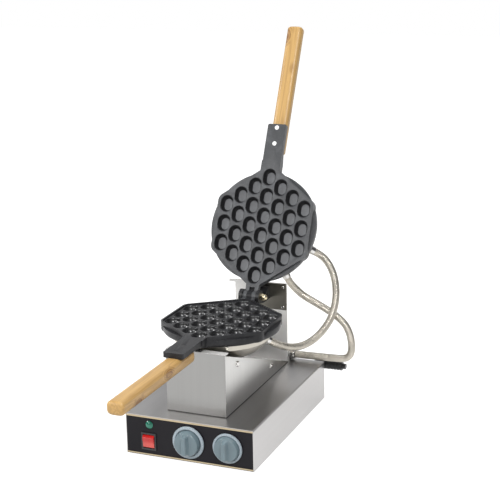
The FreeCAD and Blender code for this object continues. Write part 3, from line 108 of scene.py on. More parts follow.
class Sock:
    """One shader value that Python's operators can work on."""

    def __init__(self, graph: "Graph", socket: bpy.types.NodeSocket) -> None:
        """Keeps the graph and the output socket that holds the value."""
        self.graph = graph
        self.socket = socket

    def _math(self, operation: str, *values: Any) -> "Sock":
        """The result of one Math node on numbers or values."""
        return self.graph.node("ShaderNodeMath", {"operation": operation}, dict(enumerate(values)))

    def __add__(self, other: Any) -> "Sock":
        """Sum."""
        return self._math("ADD", self, other)

    __radd__ = __add__

    def __sub__(self, other: Any) -> "Sock":
        """Difference."""
        return self._math("SUBTRACT", self, other)

    def __rsub__(self, other: Any) -> "Sock":
        """Difference from a number."""
        return self._math("SUBTRACT", other, self)

    def __mul__(self, other: Any) -> "Sock":
        """Product."""
        return self._math("MULTIPLY", self, other)

    __rmul__ = __mul__

    def above(self, edge: Any) -> "Sock":
        """One where the value is over an edge, and zero elsewhere."""
        return self._math("GREATER_THAN", self, edge)

    def below(self, edge: Any) -> "Sock":
        """One where the value is under an edge, and zero elsewhere."""
        return self._math("LESS_THAN", self, edge)

    def sin(self) -> "Sock":
        """Sine."""
        return self._math("SINE", self)

    def size(self) -> "Sock":
        """Absolute value."""
        return self._math("ABSOLUTE", self)

    def larger(self, other: Any) -> "Sock":
        """The larger of two values."""
        return self._math("MAXIMUM", self, other)

    def between(self, low: float, high: float) -> "Sock":
        """A smooth step from 0 at a low value to 1 at a high one."""
        settings = {"interpolation_type": "SMOOTHSTEP", "clamp": True}
        return self.graph.node("ShaderNodeMapRange", settings, {0: self, 1: low, 2: high})


class Graph:
    """The node graph of one material, or of the world."""

    def __init__(self, tree: bpy.types.NodeTree) -> None:
        """Empties the tree to build in."""
        self.tree = tree
        tree.nodes.clear()

    def node(self, kind: str, settings: dict[str, Any], inputs: dict[Any, Any], output: Any = 0) -> Sock:
        """Adds a node, sets it up, then fills or links its inputs.

        Args:
            kind: The node's type name.
            settings: Attributes of the node; "stops" holds a ramp's (place, colour) pairs.
            inputs: Socket name or number to number, colour, vector or Sock.
            output: Name or number of the output to return.

        Returns:
            The chosen output.
        """
        made = self.tree.nodes.new(kind)
        for key, value in settings.items():
            if key == "stops":
                ramp = made.color_ramp
                while len(ramp.elements) < len(value):
                    ramp.elements.new(0.5)
                for element, (place, colour) in zip(ramp.elements, value):
                    element.position = place
                    element.color = (*colour, 1.0)
            else:
                setattr(made, key, value)
        for key, value in inputs.items():
            if isinstance(value, Sock):
                self.tree.links.new(value.socket, made.inputs[key])
            else:
                made.inputs[key].default_value = value
        return Sock(self, made.outputs[output])

    def place(self, stretch: Triple = (1, 1, 1)) -> Sock:
        """Object coordinates in metres, scaled along each axis."""
        return self.stretched(self.node("ShaderNodeTexCoord", {}, {}, "Object"), stretch)

    def noise(self, scale: float, detail: float = 3.0, rough: float = 0.55, bend: float = 0.0,
              at: Sock | None = None) -> Sock:
        """Noise from 0 to 1: spots per metre, octaves, strength of the fine ones, distortion and place."""
        return self.node("ShaderNodeTexNoise", {}, {"Vector": at or self.place(), "Scale": scale,
                                                    "Detail": detail, "Roughness": rough, "Distortion": bend})

    def outputs(self, kind: str, inputs: dict[Any, Any], *names: Any) -> list[Sock]:
        """Several outputs of one node, by name or number."""
        outputs = self.node(kind, {}, inputs).socket.node.outputs
        return [Sock(self, outputs[name]) for name in names]

    def parts(self, vector: Sock) -> list[Sock]:
        """The three parts of a vector."""
        return self.outputs("ShaderNodeSeparateXYZ", {0: vector}, 0, 1, 2)

    def rays(self) -> list[Sock]:
        """Masks of the camera's own rays and of mirrored ones, for the floor and the room."""
        return self.outputs("ShaderNodeLightPath", {}, "Is Camera Ray", "Is Glossy Ray")

    def stretched(self, vector: Sock, stretch: Triple) -> Sock:
        """A vector scaled along each axis."""
        return self.node("ShaderNodeMapping", {}, {"Vector": vector, "Scale": stretch})

    def ramp(self, value: Sock, stops: Sequence[tuple[float, Triple]]) -> Sock:
        """A colour that follows a value through stops."""
        return self.node("ShaderNodeValToRGB", {"stops": list(stops)}, {0: value})

    def mix(self, factor: Any, first: Any, second: Any) -> Sock:
        """A colour between two colours."""
        pair = [(*side, 1.0) if isinstance(side, tuple) else side for side in (first, second)]
        return self.node("ShaderNodeMix", {"data_type": "RGBA", "clamp_factor": True},
                         {0: factor, 6: pair[0], 7: pair[1]}, 2)

    def bump(self, height: Sock, depth: float) -> Sock:
        """A normal from a height of 0 to 1, where 1 stands for a depth in metres."""
        return self.node("ShaderNodeBump", {}, {"Height": height, "Distance": depth, "Strength": 1.0})

    def surface(self, **sockets: Any) -> None:
        """Ends the graph in a Principled shader.

        Args:
            sockets: Input names, with spaces written as underscores, and their values.
        """
        named = {key.replace("_", " "): (*value, 1.0) if key.endswith("Color") and isinstance(value, tuple)
                 else value for key, value in sockets.items()}
        self.close(self.node("ShaderNodeBsdfPrincipled", {}, named), "ShaderNodeOutputMaterial")

    def close(self, shader: Sock, kind: str) -> None:
        """Links a finished shader to an output node of a kind."""
        self.tree.links.new(shader.socket, self.tree.nodes.new(kind).inputs[0])


def toned(colour: Triple, share: float) -> Triple:
    """A colour times a share, no channel over 1."""
    return tuple(min(1.0, channel * share) for channel in colour)


def new_material(name: str) -> tuple[Look, Graph]:
    """Starts a material.

    Args:
        name: Its name.

    Returns:
        The material and its empty graph.
    """
    material = bpy.data.materials.new(name)
    material.use_nodes = True
    return material, Graph(material.node_tree)


# ---- finishes

@dataclass(frozen=True)
class BrushedSteel:
    """Stainless sheet with fine parallel brushing and soft cloudy reflections."""

    name: str
    tint: Triple = (0.56, 0.56, 0.57)
    run: Axis = Axis.ACROSS
    rough: float = 0.26
    spread: float = 0.05
    cloud: float = 9.0
    contrast: float = 0.1
    turn: float = 0.75
    painted_front_shade: tuple[float, float] | None = None
    painted_shadow_height: float | None = None
    painted_highlight_height: float | None = None
    hairs: float = 700.0
    bands: float = 120.0
    hair_run: float = 5.0
    band_run: float = 3.0
    shade: float = 0.12
    painted_highlight_tint: Triple = (0.95, 0.94, 0.92)
    painted_highlight_metal: float = 0.2

    def drawn(self, graph: Graph, across: float, along: float, detail: float, rough: float) -> Sock:
        """Noise that is fine across the run and long along it, in spots per metre."""
        stretch = tuple(along if axis == self.run.value else across for axis in range(3))
        return graph.noise(1.0, detail, rough, at=graph.place(stretch))

    def make(self, graph: Graph) -> None:
        """Brushing is noise drawn out along the run; clouds vary tint and gloss, and spread it unevenly.
        Painted shade darkens the forward face, a painted contact shadow darkens a band where the sheet
        stands, and a painted highlight lights the top flange.

        Args:
            graph: The material's empty graph.
        """
        streak = self.drawn(graph, self.hairs, self.hair_run, 3.0, 0.6)
        band = self.drawn(graph, self.bands, self.band_run, 2.0, 0.5)
        cloud = graph.noise(self.cloud, 3.0, 0.5, 0.6)
        smear = graph.noise(self.cloud * 3, 3.0, 0.55, 1.0, graph.place((1.0, 1.0, 2.0)))
        tone = (streak - 0.5) * 0.3 + (band - 0.5) * 0.5 + (cloud - 0.5) * 0.7 + 0.5
        colour = graph.mix(tone, toned(self.tint, 1 - self.contrast), toned(self.tint, 1 + self.contrast))
        _, deep, tall = graph.parts(graph.place())
        # The shade colour, used for the painted shade on the forward face and for the painted contact shadow.
        dark = toned(self.tint, self.shade)
        # Painted shade: the face forward of a given depth is mixed toward the shade colour.
        if self.painted_front_shade:
            edge, share = self.painted_front_shade
            colour = graph.mix(deep.below(edge * MM) * share, colour, dark)
        # Painted contact shadow: a dark band just above the given height, where the riser stands on the base.
        if self.painted_shadow_height:
            painted_contact_shadow = 1.0 - tall.between((self.painted_shadow_height - 0.4) * MM, (self.painted_shadow_height + 0.6) * MM)
            colour = graph.mix(painted_contact_shadow, colour, dark)
        gloss = (streak - 0.5) * self.spread + (smear - 0.5) * self.spread + self.rough
        metal = 1.0
        # Painted highlight: above the given height the top flange is painted near white and made less
        # metallic, so it reads bright.
        if self.painted_highlight_height:
            upper = tall.above(self.painted_highlight_height * MM)
            colour = graph.mix(upper, colour, self.painted_highlight_tint)
            metal = 1.0 - upper * (1.0 - self.painted_highlight_metal)
        graph.surface(Base_Color=colour, Metallic=metal, Roughness=gloss.larger(0.05),
                      Anisotropic=self.turn, Normal=graph.bump(band * 0.6 + streak * 0.4, 0.000006))


@dataclass(frozen=True)
class BrightSteel:
    """Polished or plated steel with faint handling marks."""

    name: str
    tint: Triple = (0.66, 0.65, 0.63)
    rough: float = 0.14

    def make(self, graph: Graph) -> None:
        """Soft blotches change the gloss a little.

        Args:
            graph: The material's empty graph.
        """
        blotch = graph.noise(26.0, 4.0, 0.6, 1.0)
        fine = graph.noise(700.0, 2.0)
        colour = graph.mix(blotch, toned(self.tint, 0.82), self.tint)
        gloss = (blotch - 0.5) * 0.16 + (fine - 0.5) * 0.05 + self.rough
        graph.surface(Base_Color=colour, Metallic=1.0, Roughness=gloss.larger(0.04),
                      Normal=graph.bump(fine, 0.00001))


@dataclass(frozen=True)
class CoatedCasting:
    """A cast plate under a dark satin release coat, which reads how deep each point lies in a cell."""

    name: str
    tint: Triple = (0.105, 0.108, 0.115)
    worn: Triple = (0.17, 0.175, 0.185)
    # Painted shade: the colour of the cells' steep walls.
    wall: Triple = (0.012, 0.012, 0.013)
    # Painted light: the colour of the cells' floors.
    painted_floor_light: Triple = (0.19, 0.195, 0.205)
    rough: float = 0.36
    grain: float = 1300.0
    shine: float = 0.5
    glaze: float = 0.0

    def make(self, graph: Graph) -> None:
        """Fine cast grain, worn lighter in soft patches; the steep walls of the cells are painted near black
        as shade, and their floors are painted lighter as light.

        Args:
            graph: The material's empty graph.
        """
        depth = graph.node("ShaderNodeAttribute", {"attribute_name": "depth"}, {}, "Fac")
        grain = graph.noise(self.grain, 3.0, 0.6)
        patch = graph.noise(34.0, 5.0, 0.62, 0.5)
        speck = graph.noise(420.0, 2.0).between(0.58, 0.72)
        worn = patch.between(0.42, 0.7) * 0.7 + speck * 0.3
        land = graph.mix(worn, self.tint, self.worn)
        floor = graph.mix(worn, toned(self.painted_floor_light, 0.72), self.painted_floor_light)
        # Painted shade and light, by depth in the cell: the walls go near black and the floors lighter.
        cell = graph.mix(depth.between(0.9, 0.995), self.wall, floor)
        colour = graph.mix(depth.between(0.0, 0.1), land, cell)
        gloss = (grain - 0.5) * 0.16 + (patch - 0.5) * 0.2 + self.rough
        graph.surface(Base_Color=colour, Metallic=0.0, Roughness=gloss, Specular_IOR_Level=self.shine,
                      Coat_Weight=depth.between(0.02, 0.12) * self.glaze, Coat_Roughness=0.22, Coat_IOR=1.7,
                      Normal=graph.bump(grain + speck * 0.4, 0.00007))


@dataclass(frozen=True)
class OiledWood:
    """Golden light wood with long grain and a few knots, read from the piece's grain attribute."""

    name: str
    light: Triple = (0.66, 0.41, 0.145)
    dark: Triple = (0.22, 0.085, 0.015)
    rough: float = 0.38
    rings: float = 7.0

    def make(self, graph: Graph) -> None:
        """Growth rings are waves across the stick bent by noise; knots pull them round.

        Args:
            graph: The material's empty graph.
        """
        grain = graph.node("ShaderNodeAttribute", {"attribute_name": "grain"}, {}, "Vector")
        knot = graph.node("ShaderNodeTexVoronoi", {"feature": "F1"},
                          {"Vector": graph.stretched(grain, (26.0, 26.0, 13.0)), "Scale": 1.0,
                           "Randomness": 1.0}, "Distance")
        near = 1.0 - knot.between(0.06, 0.3)
        wave = graph.noise(1.0, 3.0, 0.5, 0.4, graph.stretched(grain, (60.0, 60.0, 5.0)))
        ring = ((wave * self.rings + near * 2.4) * math.tau).sin() * 0.5 + 0.5
        fibre = graph.noise(1.0, 3.0, 0.7, at=graph.stretched(grain, (900.0, 900.0, 24.0)))
        broad = graph.noise(1.0, 2.0, at=graph.stretched(grain, (30.0, 30.0, 9.0)))
        tone = ring * 0.34 + fibre * 0.34 + broad * 0.3 + near * 0.55 - 0.18
        middle = tuple((a * 0.68 + b * 0.32) for a, b in zip(self.light, self.dark))
        colour = graph.ramp(tone, [(0.05, self.light), (0.5, middle), (1.0, self.dark)])
        gloss = (fibre - 0.5) * 0.2 + self.rough
        graph.surface(Base_Color=colour, Roughness=gloss, Coat_Weight=0.12, Coat_Roughness=0.3,
                      Normal=graph.bump(fibre * 0.7 + ring * 0.3, 0.0001))


@dataclass(frozen=True)
class BraidedMetal:
    """Woven wire sleeve: two families of strands that cross, read from the hose's UV map in millimetres."""

    name: str
    tint: Triple = (0.72, 0.67, 0.58)
    strand: float = 1.5
    strands: int = 12

    def make(self, graph: Graph) -> None:
        """Each family is a wave on a slant; the higher of the two is on top.

        Args:
            graph: The material's empty graph.
        """
        round_way, long_way, _ = graph.parts(graph.node("ShaderNodeUVMap", {"uv_map": "run"}, {}))
        turns = round_way * (self.strands * math.tau)
        travel = long_way * (math.tau / (self.strand * 2.0))
        left = (turns + travel).sin()
        right = (turns - travel).sin()
        height = (left.larger(right) + 1.0) * 0.5
        grime = graph.noise(60.0, 4.0, 0.6)
        # Painted shade: the low parts of the weave, between strands, are darkened; the grime noise adds
        # random dirt.
        shade = height.between(0.3, 0.95) * 0.7 + (grime - 0.5) * 0.5 + 0.2
        colour = graph.mix(shade, toned(self.tint, 0.22), self.tint)
        gloss = 0.5 - height * 0.16 + (grime - 0.5) * 0.1
        graph.surface(Base_Color=colour, Metallic=0.9, Roughness=gloss * 0.8, Specular_IOR_Level=0.5,
                      Normal=graph.bump(height, 0.0003))


@dataclass(frozen=True)
class Moulded:
    """Moulded plastic, rubber or enamel with a fine surface grain."""

    name: str
    tint: Triple
    rough: float = 0.42
    grain: float = 1500.0
    depth: float = 0.00004
    coat: float = 0.0
    vary: float = 0.12
    shine: float = 0.5

    def make(self, graph: Graph) -> None:
        """A grain bump, with slight changes in tone and gloss.

        Args:
            graph: The material's empty graph.
        """
        fine = graph.noise(self.grain, 2.0, 0.6)
        broad = graph.noise(45.0, 4.0, 0.6)
        colour = graph.mix(broad * 0.7 + fine * 0.3, toned(self.tint, 1 - self.vary),
                           toned(self.tint, 1 + self.vary))
        gloss = (broad - 0.5) * 0.12 + (fine - 0.5) * 0.08 + self.rough
        graph.surface(Base_Color=colour, Roughness=gloss.larger(0.05), Specular_IOR_Level=self.shine,
                      Coat_Weight=self.coat, Coat_Roughness=0.12, Normal=graph.bump(fine, self.depth))


@dataclass(frozen=True)
class ClearLens:
    """Coloured translucent moulding with a glow of its own colour."""

    name: str
    tint: Triple
    pale: Triple
    middle: float
    half: float
    glow: float = 0.25
    rough: float = 0.2

    def make(self, graph: Graph) -> None:
        """A soft cloud of tone inside the moulding, paler below a height that is given in millimetres.

        Args:
            graph: The material's empty graph.
        """
        cloud = graph.noise(160.0, 3.0)
        _, _, tall = graph.parts(graph.place())
        low = 1.0 - tall.between((self.middle - self.half) * MM, (self.middle + self.half) * MM)
        body = graph.mix(cloud, toned(self.tint, 0.75), self.tint)
        colour = graph.mix(low * 0.8 + (cloud - 0.5) * 0.3, body, self.pale)
        graph.surface(Base_Color=colour, Roughness=(cloud - 0.5) * 0.06 + self.rough, Coat_Weight=0.25,
                      Coat_Roughness=0.08, Emission_Color=colour, Emission_Strength=self.glow)


STEEL_TOP = BrushedSteel("steel_base", (0.47, 0.46, 0.455), run=Axis.ALONG, rough=0.3, cloud=5.0)
# The riser's steel paints shade on its forward face, a contact shadow where it stands and a highlight on its
# top flange.
STEEL_SIDE = BrushedSteel("steel_riser", (0.62, 0.615, 0.6), run=Axis.UP, rough=0.3,
                          painted_front_shade=(-97.9, 0.62), painted_shadow_height=67.2, painted_highlight_height=163.1)
STEEL_TRAY = BrushedSteel("steel_tray", (0.5, 0.5, 0.5), run=Axis.ALONG, rough=0.32)
STEEL_COLUMN = BrushedSteel("steel_column", (0.92, 0.91, 0.89), run=Axis.UP, rough=0.55, contrast=0.05)
STEEL_DARK = BrushedSteel("steel_bearing_plate", (0.2, 0.19, 0.165), run=Axis.UP, rough=0.34)
STEEL_BRIGHT = BrightSteel("steel_plated")
STEEL_DOME = BrightSteel("steel_dome", (0.55, 0.52, 0.46), rough=0.36)
STEEL_WHITE = BrightSteel("steel_screw", (0.97, 0.97, 0.96), rough=0.62)
STEEL_BLACKED = BrightSteel("steel_blacked", (0.1, 0.1, 0.1), rough=0.5)
STEEL_HEATED = BrightSteel("steel_heated", (0.33, 0.29, 0.25), rough=0.4)
BRASS = BrightSteel("brass", (0.72, 0.5, 0.2), rough=0.2)
BRASS_PALE = BrightSteel("brass_pale", (0.8, 0.7, 0.48), rough=0.28)
BRASS_TRIM = BrightSteel("brass_trim", (0.52, 0.43, 0.29), rough=0.36)
LID_COAT = CoatedCasting("lid_coat", (0.068, 0.07, 0.074), worn=(0.125, 0.13, 0.138), shine=0.4)
# Painted shade: the lower pan's coat is a much darker copy of the lid's coat, standing for the lid's dark
# reflection in the lower plate.
PAN_COAT_SHADED = CoatedCasting("pan_coat_painted_dark", (0.02, 0.02, 0.022), worn=(0.04, 0.041, 0.044),
                         painted_floor_light=(0.03, 0.03, 0.032), shine=0.22, glaze=1.0)
BLACK_CASTING = CoatedCasting("black_casting", (0.012, 0.012, 0.013), worn=(0.03, 0.03, 0.032), rough=0.4)
WOOD = OiledWood("grip_wood")
BRAID = BraidedMetal("braided_sleeve")
PANEL_BLACK = Moulded("panel_enamel", (0.01, 0.009, 0.012), depth=0.00002, shine=0.18)
KNOB_CAP = Moulded("knob_cap", (0.17, 0.235, 0.265), rough=0.34, coat=0.25, vary=0.2)
KNOB_RING = Moulded("knob_ring", (0.4, 0.47, 0.52), vary=0.28, coat=0.1)
KNOB_INK = Moulded("knob_ink", (0.07, 0.1, 0.13), rough=0.5)
BLACK_PLASTIC = Moulded("black_plastic", (0.022, 0.022, 0.024), rough=0.35)
RUBBER = Moulded("black_rubber", (0.02, 0.02, 0.02), rough=0.6, depth=0.0001)
CERAMIC = Moulded("ceramic", (0.78, 0.75, 0.68), rough=0.3)
RED_KEY = ClearLens("red_key", (0.62, 0.008, 0.006), (0.72, 0.1, 0.08), 25.0, 3.5, glow=0.16)
GREEN_LENS = ClearLens("green_lens", (0.0, 0.17, 0.105), (0.01, 0.28, 0.18), 51.0, 5.0, glow=0.12)


@cache
def wear(finish: Any) -> Look:
    """The material of a finish, made at its first use.

    Args:
        finish: One of the finishes.

    Returns:
        The material.
    """
    material, graph = new_material(finish.name)
    finish.make(graph)
    return material


# ---- surfaces

def tube_faces(rows: int, columns: int) -> tuple[np.ndarray, np.ndarray]:
    """Faces of a closed tube whose points are stored ring by ring, with its two end middles last.

    Args:
        rows: Number of rings.
        columns: Number of points in a ring.

    Returns:
        The wall's quads and the two end fans' triangles, as point numbers.
    """
    around = np.arange(columns)
    ahead = np.roll(around, -1)
    row = np.arange(rows - 1)[:, None] * columns
    quads = np.stack([row + around, row + ahead, row + columns + ahead, row + columns + around], axis=-1)
    last, hub = (rows - 1) * columns, np.full(columns, rows * columns)
    near = np.stack([ahead, around, hub], axis=-1)
    far = np.stack([last + around, last + ahead, hub + 1], axis=-1)
    return quads.reshape(-1, 4), np.vstack([near, far])


def circle(count: int) -> np.ndarray:
    """Even steps round a circle, in radians."""
    return np.linspace(0, math.tau, count, endpoint=False)


def unit(vectors: np.ndarray) -> np.ndarray:
    """Vectors scaled to a length of one."""
    return vectors / np.linalg.norm(vectors, axis=-1, keepdims=True)


def stand(name: str, data: Any) -> Piece:
    """Adds an object at the origin of the scene.

    Args:
        name: Its name.
        data: Its mesh, curve, lamp or camera.

    Returns:
        The object.
    """
    piece = bpy.data.objects.new(name, data)
    bpy.context.scene.collection.objects.link(piece)
    return piece


def points_of(mesh: bpy.types.Mesh) -> np.ndarray:
    """Reads a mesh's points.

    Args:
        mesh: The mesh.

    Returns:
        An (n, 3) array in metres.
    """
    flat = np.empty(len(mesh.vertices) * 3, np.float32)
    mesh.vertices.foreach_get("co", flat)
    return flat.reshape(-1, 3)


def put_mesh(name: str, points: np.ndarray, faces: list[list[int]], smooth: bool = True) -> Piece:
    """An object at the origin from points in millimetres.

    Args:
        name: The piece's name.
        points: An (n, 3) array.
        faces: Each face's point numbers, anticlockwise from outside.
        smooth: Shade the faces smooth.

    Returns:
        The object.
    """
    mesh = bpy.data.meshes.new(name)
    mesh.from_pydata((points * MM).tolist(), [], faces)
    mesh.update()
    mesh.shade_smooth() if smooth else mesh.shade_flat()
    return stand(name, mesh)


def settle(piece: Piece) -> Piece:
    """Merges a piece's doubles, points its faces outwards and keeps its sharp edges sharp.

    Args:
        piece: A mesh object.

    Returns:
        The same object.
    """
    work = bmesh.new()
    work.from_mesh(piece.data)
    bmesh.ops.remove_doubles(work, verts=work.verts, dist=1e-6)
    bmesh.ops.recalc_face_normals(work, faces=work.faces)
    work.to_mesh(piece.data)
    work.free()
    piece.data.set_sharp_from_angle(angle=CREASE)
    return piece


def capped_tube(name: str, rings: np.ndarray, place: Placing) -> Piece:
    """A closed skin over rings of points, with a flat fan over each end.

    Args:
        name: The piece's name.
        rings: A (rows, columns, 3) array of local points.
        place: Takes local points to the object's frame.

    Returns:
        The object.
    """
    points = place(np.vstack([rings.reshape(-1, 3), rings[0].mean(axis=0), rings[-1].mean(axis=0)]))
    quads, fans = tube_faces(*rings.shape[:2])
    return settle(put_mesh(name, points, quads.tolist() + fans.tolist()))


def dress(piece: Piece, body: str, finish: Any) -> Piece:
    """Gives a new piece its finish and the body it rides on.

    Args:
        piece: The object.
        body: The CAD body's name.
        finish: The finish.

    Returns:
        The same object.
    """
    piece.data.materials.clear()
    piece.data.materials.append(wear(finish))
    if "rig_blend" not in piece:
        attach(piece, body)
    LOG.info("%s rides on %s", piece.name, body)
    return piece


def paint(finish: Any, *nodes: str) -> None:
    """Gives CAD nodes their finish.

    Args:
        finish: The finish.
        nodes: The nodes' names.
    """
    for node in nodes:
        materials = frame["nodes"][node].data.materials
        materials.clear()
        materials.append(wear(finish))
        LOG.info("%s wears %s", node, finish.name)


def softened(node: str, finish: Any, width: float, steps: int = 2, corner: float = 32.0,
             shape: Callable[[bmesh.types.BMesh], None] | None = None) -> Piece:
    """A copy of a CAD node with its sharp edges broken, which stands for the node.

    Args:
        node: The CAD node.
        finish: Its finish.
        width: How far each edge is broken, in millimetres.
        steps: Faces across a broken edge.
        corner: Edges that turn by more than this many degrees are broken.
        shape: Further work on the merged copy before its edges are broken.

    Returns:
        The new piece.
    """
    source = frame["nodes"][node]
    piece = stand(node + "_soft", source.data.copy())
    work = bmesh.new()
    work.from_mesh(piece.data)
    bmesh.ops.remove_doubles(work, verts=work.verts, dist=2e-6)
    bmesh.ops.dissolve_degenerate(work, dist=1e-6, edges=work.edges)
    bmesh.ops.dissolve_limit(work, angle_limit=math.radians(0.8), verts=work.verts, edges=work.edges)
    if shape:
        shape(work)
    work.to_mesh(piece.data)
    work.free()
    piece.data.shade_smooth()
    edge = piece.modifiers.new("broken edge", "BEVEL")
    edge.width = width * MM
    edge.segments = steps
    edge.limit_method = "ANGLE"
    edge.angle_limit = math.radians(corner)
    edge.use_clamp_overlap = True
    edge.harden_normals = True
    piece.data.set_sharp_from_angle(angle=math.radians(corner))
    dress(piece, source["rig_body"], finish)
    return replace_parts(piece, node)


# ---- sub-assemblies

@dataclass
class BaseBox:
    """The steel base with its panel and feet."""

    def build(self) -> None:
        """Dresses the box, its underside and its inner parts."""
        paint(STEEL_TOP, "base_shell", "bottom_plate")
        paint(RUBBER, "feet")
        paint(PANEL_BLACK, "front_panel")
        paint(BRASS_TRIM, "panel_trim")
        paint(CERAMIC, "terminal_block")
        paint(BLACK_PLASTIC, "timer_body", "thermostat_body", "rocker_housing", "power_gland")
        paint(STEEL_BRIGHT, "timer_shaft", "thermostat_shaft", "base_gland")


@dataclass
class DialKnob:
    """A skirted knob: a ring with marks, a stepped cap and a bar to hold."""

    name: str
    node: str
    body: str
    x: float
    ring_radius: float
    cap_radius: float
    ring_depth: float = 3.0
    cap_depth: float = 8.0
    bar_depth: float = 9.0
    bar_half: float = 4.2
    groove: float = 1.4
    marks: int = 36
    round_points: int = 96
    back_gap: float = 0.8
    well: float = 0.4
    mark_half: float = 0.22
    bar_short: float = 0.6
    bar_inset: float = 1.8
    bar_end: float = 5.0
    bar_slope: float = 4.0

    def height(self, radius: np.ndarray, across: np.ndarray) -> np.ndarray:
        """Height of the cap's face: flat, with a bar that rises smoothly.

        Args:
            radius: Distance from the axis.
            across: Signed distance from the bar's middle line.

        Returns:
            Height above the panel side.
        """
        face = self.ring_depth + self.cap_depth
        reach = np.clip((self.cap_radius - self.bar_inset - radius) / self.bar_end, 0, 1)
        side = np.clip((self.bar_half + 2.2 - np.abs(across)) / self.bar_slope, 0, 1)
        rise = (side * side * (3 - 2 * side)) * (reach * reach * (3 - 2 * reach))
        return face + rise * (self.bar_depth - self.bar_short)

    def place(self, points: np.ndarray) -> np.ndarray:
        """Takes points of a dial whose axis is local Z to their place on the panel."""
        return points[:, [0, 2, 1]] * (1, -1, 1) + (self.x, PANEL_Y - self.back_gap, CONTROL_Z)

    def spun(self, part: str, radius: np.ndarray, height: np.ndarray, finish: Moulded) -> Piece:
        """A dressed skin over circles about the dial's axis.

        Args:
            part: The end of its name.
            radius: The circles' radii, as a column.
            height: Their points' heights, one for each circle or for each point.
            finish: Its finish.

        Returns:
            The piece.
        """
        angle = circle(self.round_points)
        x, y = radius * np.cos(angle), radius * np.sin(angle)
        rings = np.stack([x, y, np.broadcast_to(height, x.shape)], axis=-1)
        piece = capped_tube(f"{self.name}_{part}", rings, self.place)
        return dress(piece, self.body, finish)

    def build(self) -> None:
        """The cap is a polar grid: radius and angle give a place, and the height field lifts it."""
        face, top, groove = self.ring_depth + self.cap_depth, self.ring_depth, self.cap_radius + self.groove
        wall = np.array([[self.well], [top + 0.6], [face - 1.2], [face - 0.25]])
        inward = np.concatenate([[0.0, 0.0, 0.9, 1.5], np.linspace(2.0, self.cap_radius - 0.4, 22)])
        radius = (self.cap_radius - inward)[:, None]
        height = self.height(radius, radius * np.cos(circle(self.round_points)))
        height[:len(wall)] = wall
        self.spun("cap", radius, height, KNOB_CAP)
        outer = self.ring_radius
        outline = np.array([(outer - 0.6, 0.0), (outer, 0.5), (outer, top - 1.2), (outer - 0.5, top - 0.3),
                            (outer - 1.3, top), (groove + 0.5, top + 0.35), (groove, top),
                            (groove, self.well), (self.cap_radius - 0.8, self.well)])
        ring = self.spun("ring", outline[:, :1], outline[:, 1:], KNOB_RING)
        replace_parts(ring, self.node)
        self.scale_marks()

    def scale_marks(self) -> None:
        """Short raised ink bars round the ring, one block for each step of the dial."""
        turn = circle(self.marks)[:, None]
        inner, outer = self.cap_radius + self.groove + 1.0, self.ring_radius - 1.0
        half = self.mark_half
        corner = np.array([[inner, -half], [outer, -half], [outer, half], [inner, half]])
        flat_x = corner[:, 0] * np.cos(turn) - corner[:, 1] * np.sin(turn)
        flat_y = corner[:, 0] * np.sin(turn) + corner[:, 1] * np.cos(turn)
        layers = [np.stack([flat_x, flat_y, np.full_like(flat_x, self.ring_depth + level)], axis=-1)
                  for level in (-0.1, 0.06)]
        points = np.concatenate(layers, axis=1).reshape(-1, 3)
        block = np.array([[0, 3, 2, 1], [4, 5, 6, 7], [0, 1, 5, 4], [1, 2, 6, 5], [2, 3, 7, 6], [3, 0, 4, 7]])
        faces = (np.arange(self.marks)[:, None, None] * 8 + block).reshape(-1, 4)
        piece = settle(put_mesh(self.name + "_marks", self.place(points), faces.tolist(), smooth=False))
        dress(piece, self.body, KNOB_INK)


@dataclass
class ControlPanel:
    """Knobs, switch key and lamp."""

    def build(self) -> None:
        """Builds each control in turn."""
        DialKnob("timer_dial", "timer_knob", "timer_control", 0.0, 25.0, 19.4).build()
        DialKnob("thermostat_dial", "thermostat_knob", "thermostat_control", 62.2, 23.0, 19.2,
                 cap_depth=6.5, groove=0.5).build()
        softened("rocker", RED_KEY, 0.5, 3)
        paint(GREEN_LENS, "indicator_lamp")


@dataclass
class RiserAndTray:
    """The folded riser, the drip tray in it and their screws."""

    def build(self) -> None:
        """Breaks the sheet's edges and dresses the screws."""
        softened("riser_bracket", STEEL_SIDE, 0.45)
        softened("drip_tray", STEEL_TRAY, 0.3, 1)
        paint(STEEL_BRIGHT, "riser_screws", "tray_screws")


@dataclass
class HingeColumn:
    """The column, its bearing plate and what turns in it."""

    def build(self) -> None:
        """Dresses the column's parts and the turning head."""
        softened("column", STEEL_COLUMN, 0.5)
        softened("bearing_plate", STEEL_DARK, 0.4)
        paint(STEEL_BRIGHT, "column_screws", "bearing_screws", "pivot_shaft", "pivot_nut", "hinge_pin")
        paint(BRASS, "bearing_bush")
        paint(BRASS_PALE, "acorn_nut")
        softened("yoke", BLACK_CASTING, 0.8, 3)


def lid_place(points: np.ndarray) -> np.ndarray:
    """Turns a plate's points over about Y, lifts them to the hinge and swings them about its pin.

    Args:
        points: An (n, 3) array in the plate's frame.

    Returns:
        The placed points.
    """
    turn = math.radians(-LID_OPENING)
    across = points[:, 1] - HINGE_Y
    high = -points[:, 2]
    return np.stack([-points[:, 0], HINGE_Y + across * math.cos(turn) - high * math.sin(turn),
                     HINGE_Z + across * math.sin(turn) + high * math.cos(turn)], axis=-1)


def lower_place(points: np.ndarray) -> np.ndarray:
    """Takes points in a plate's own frame to the lower pan."""
    return points + np.array([0.0, 0.0, HINGE_Z])


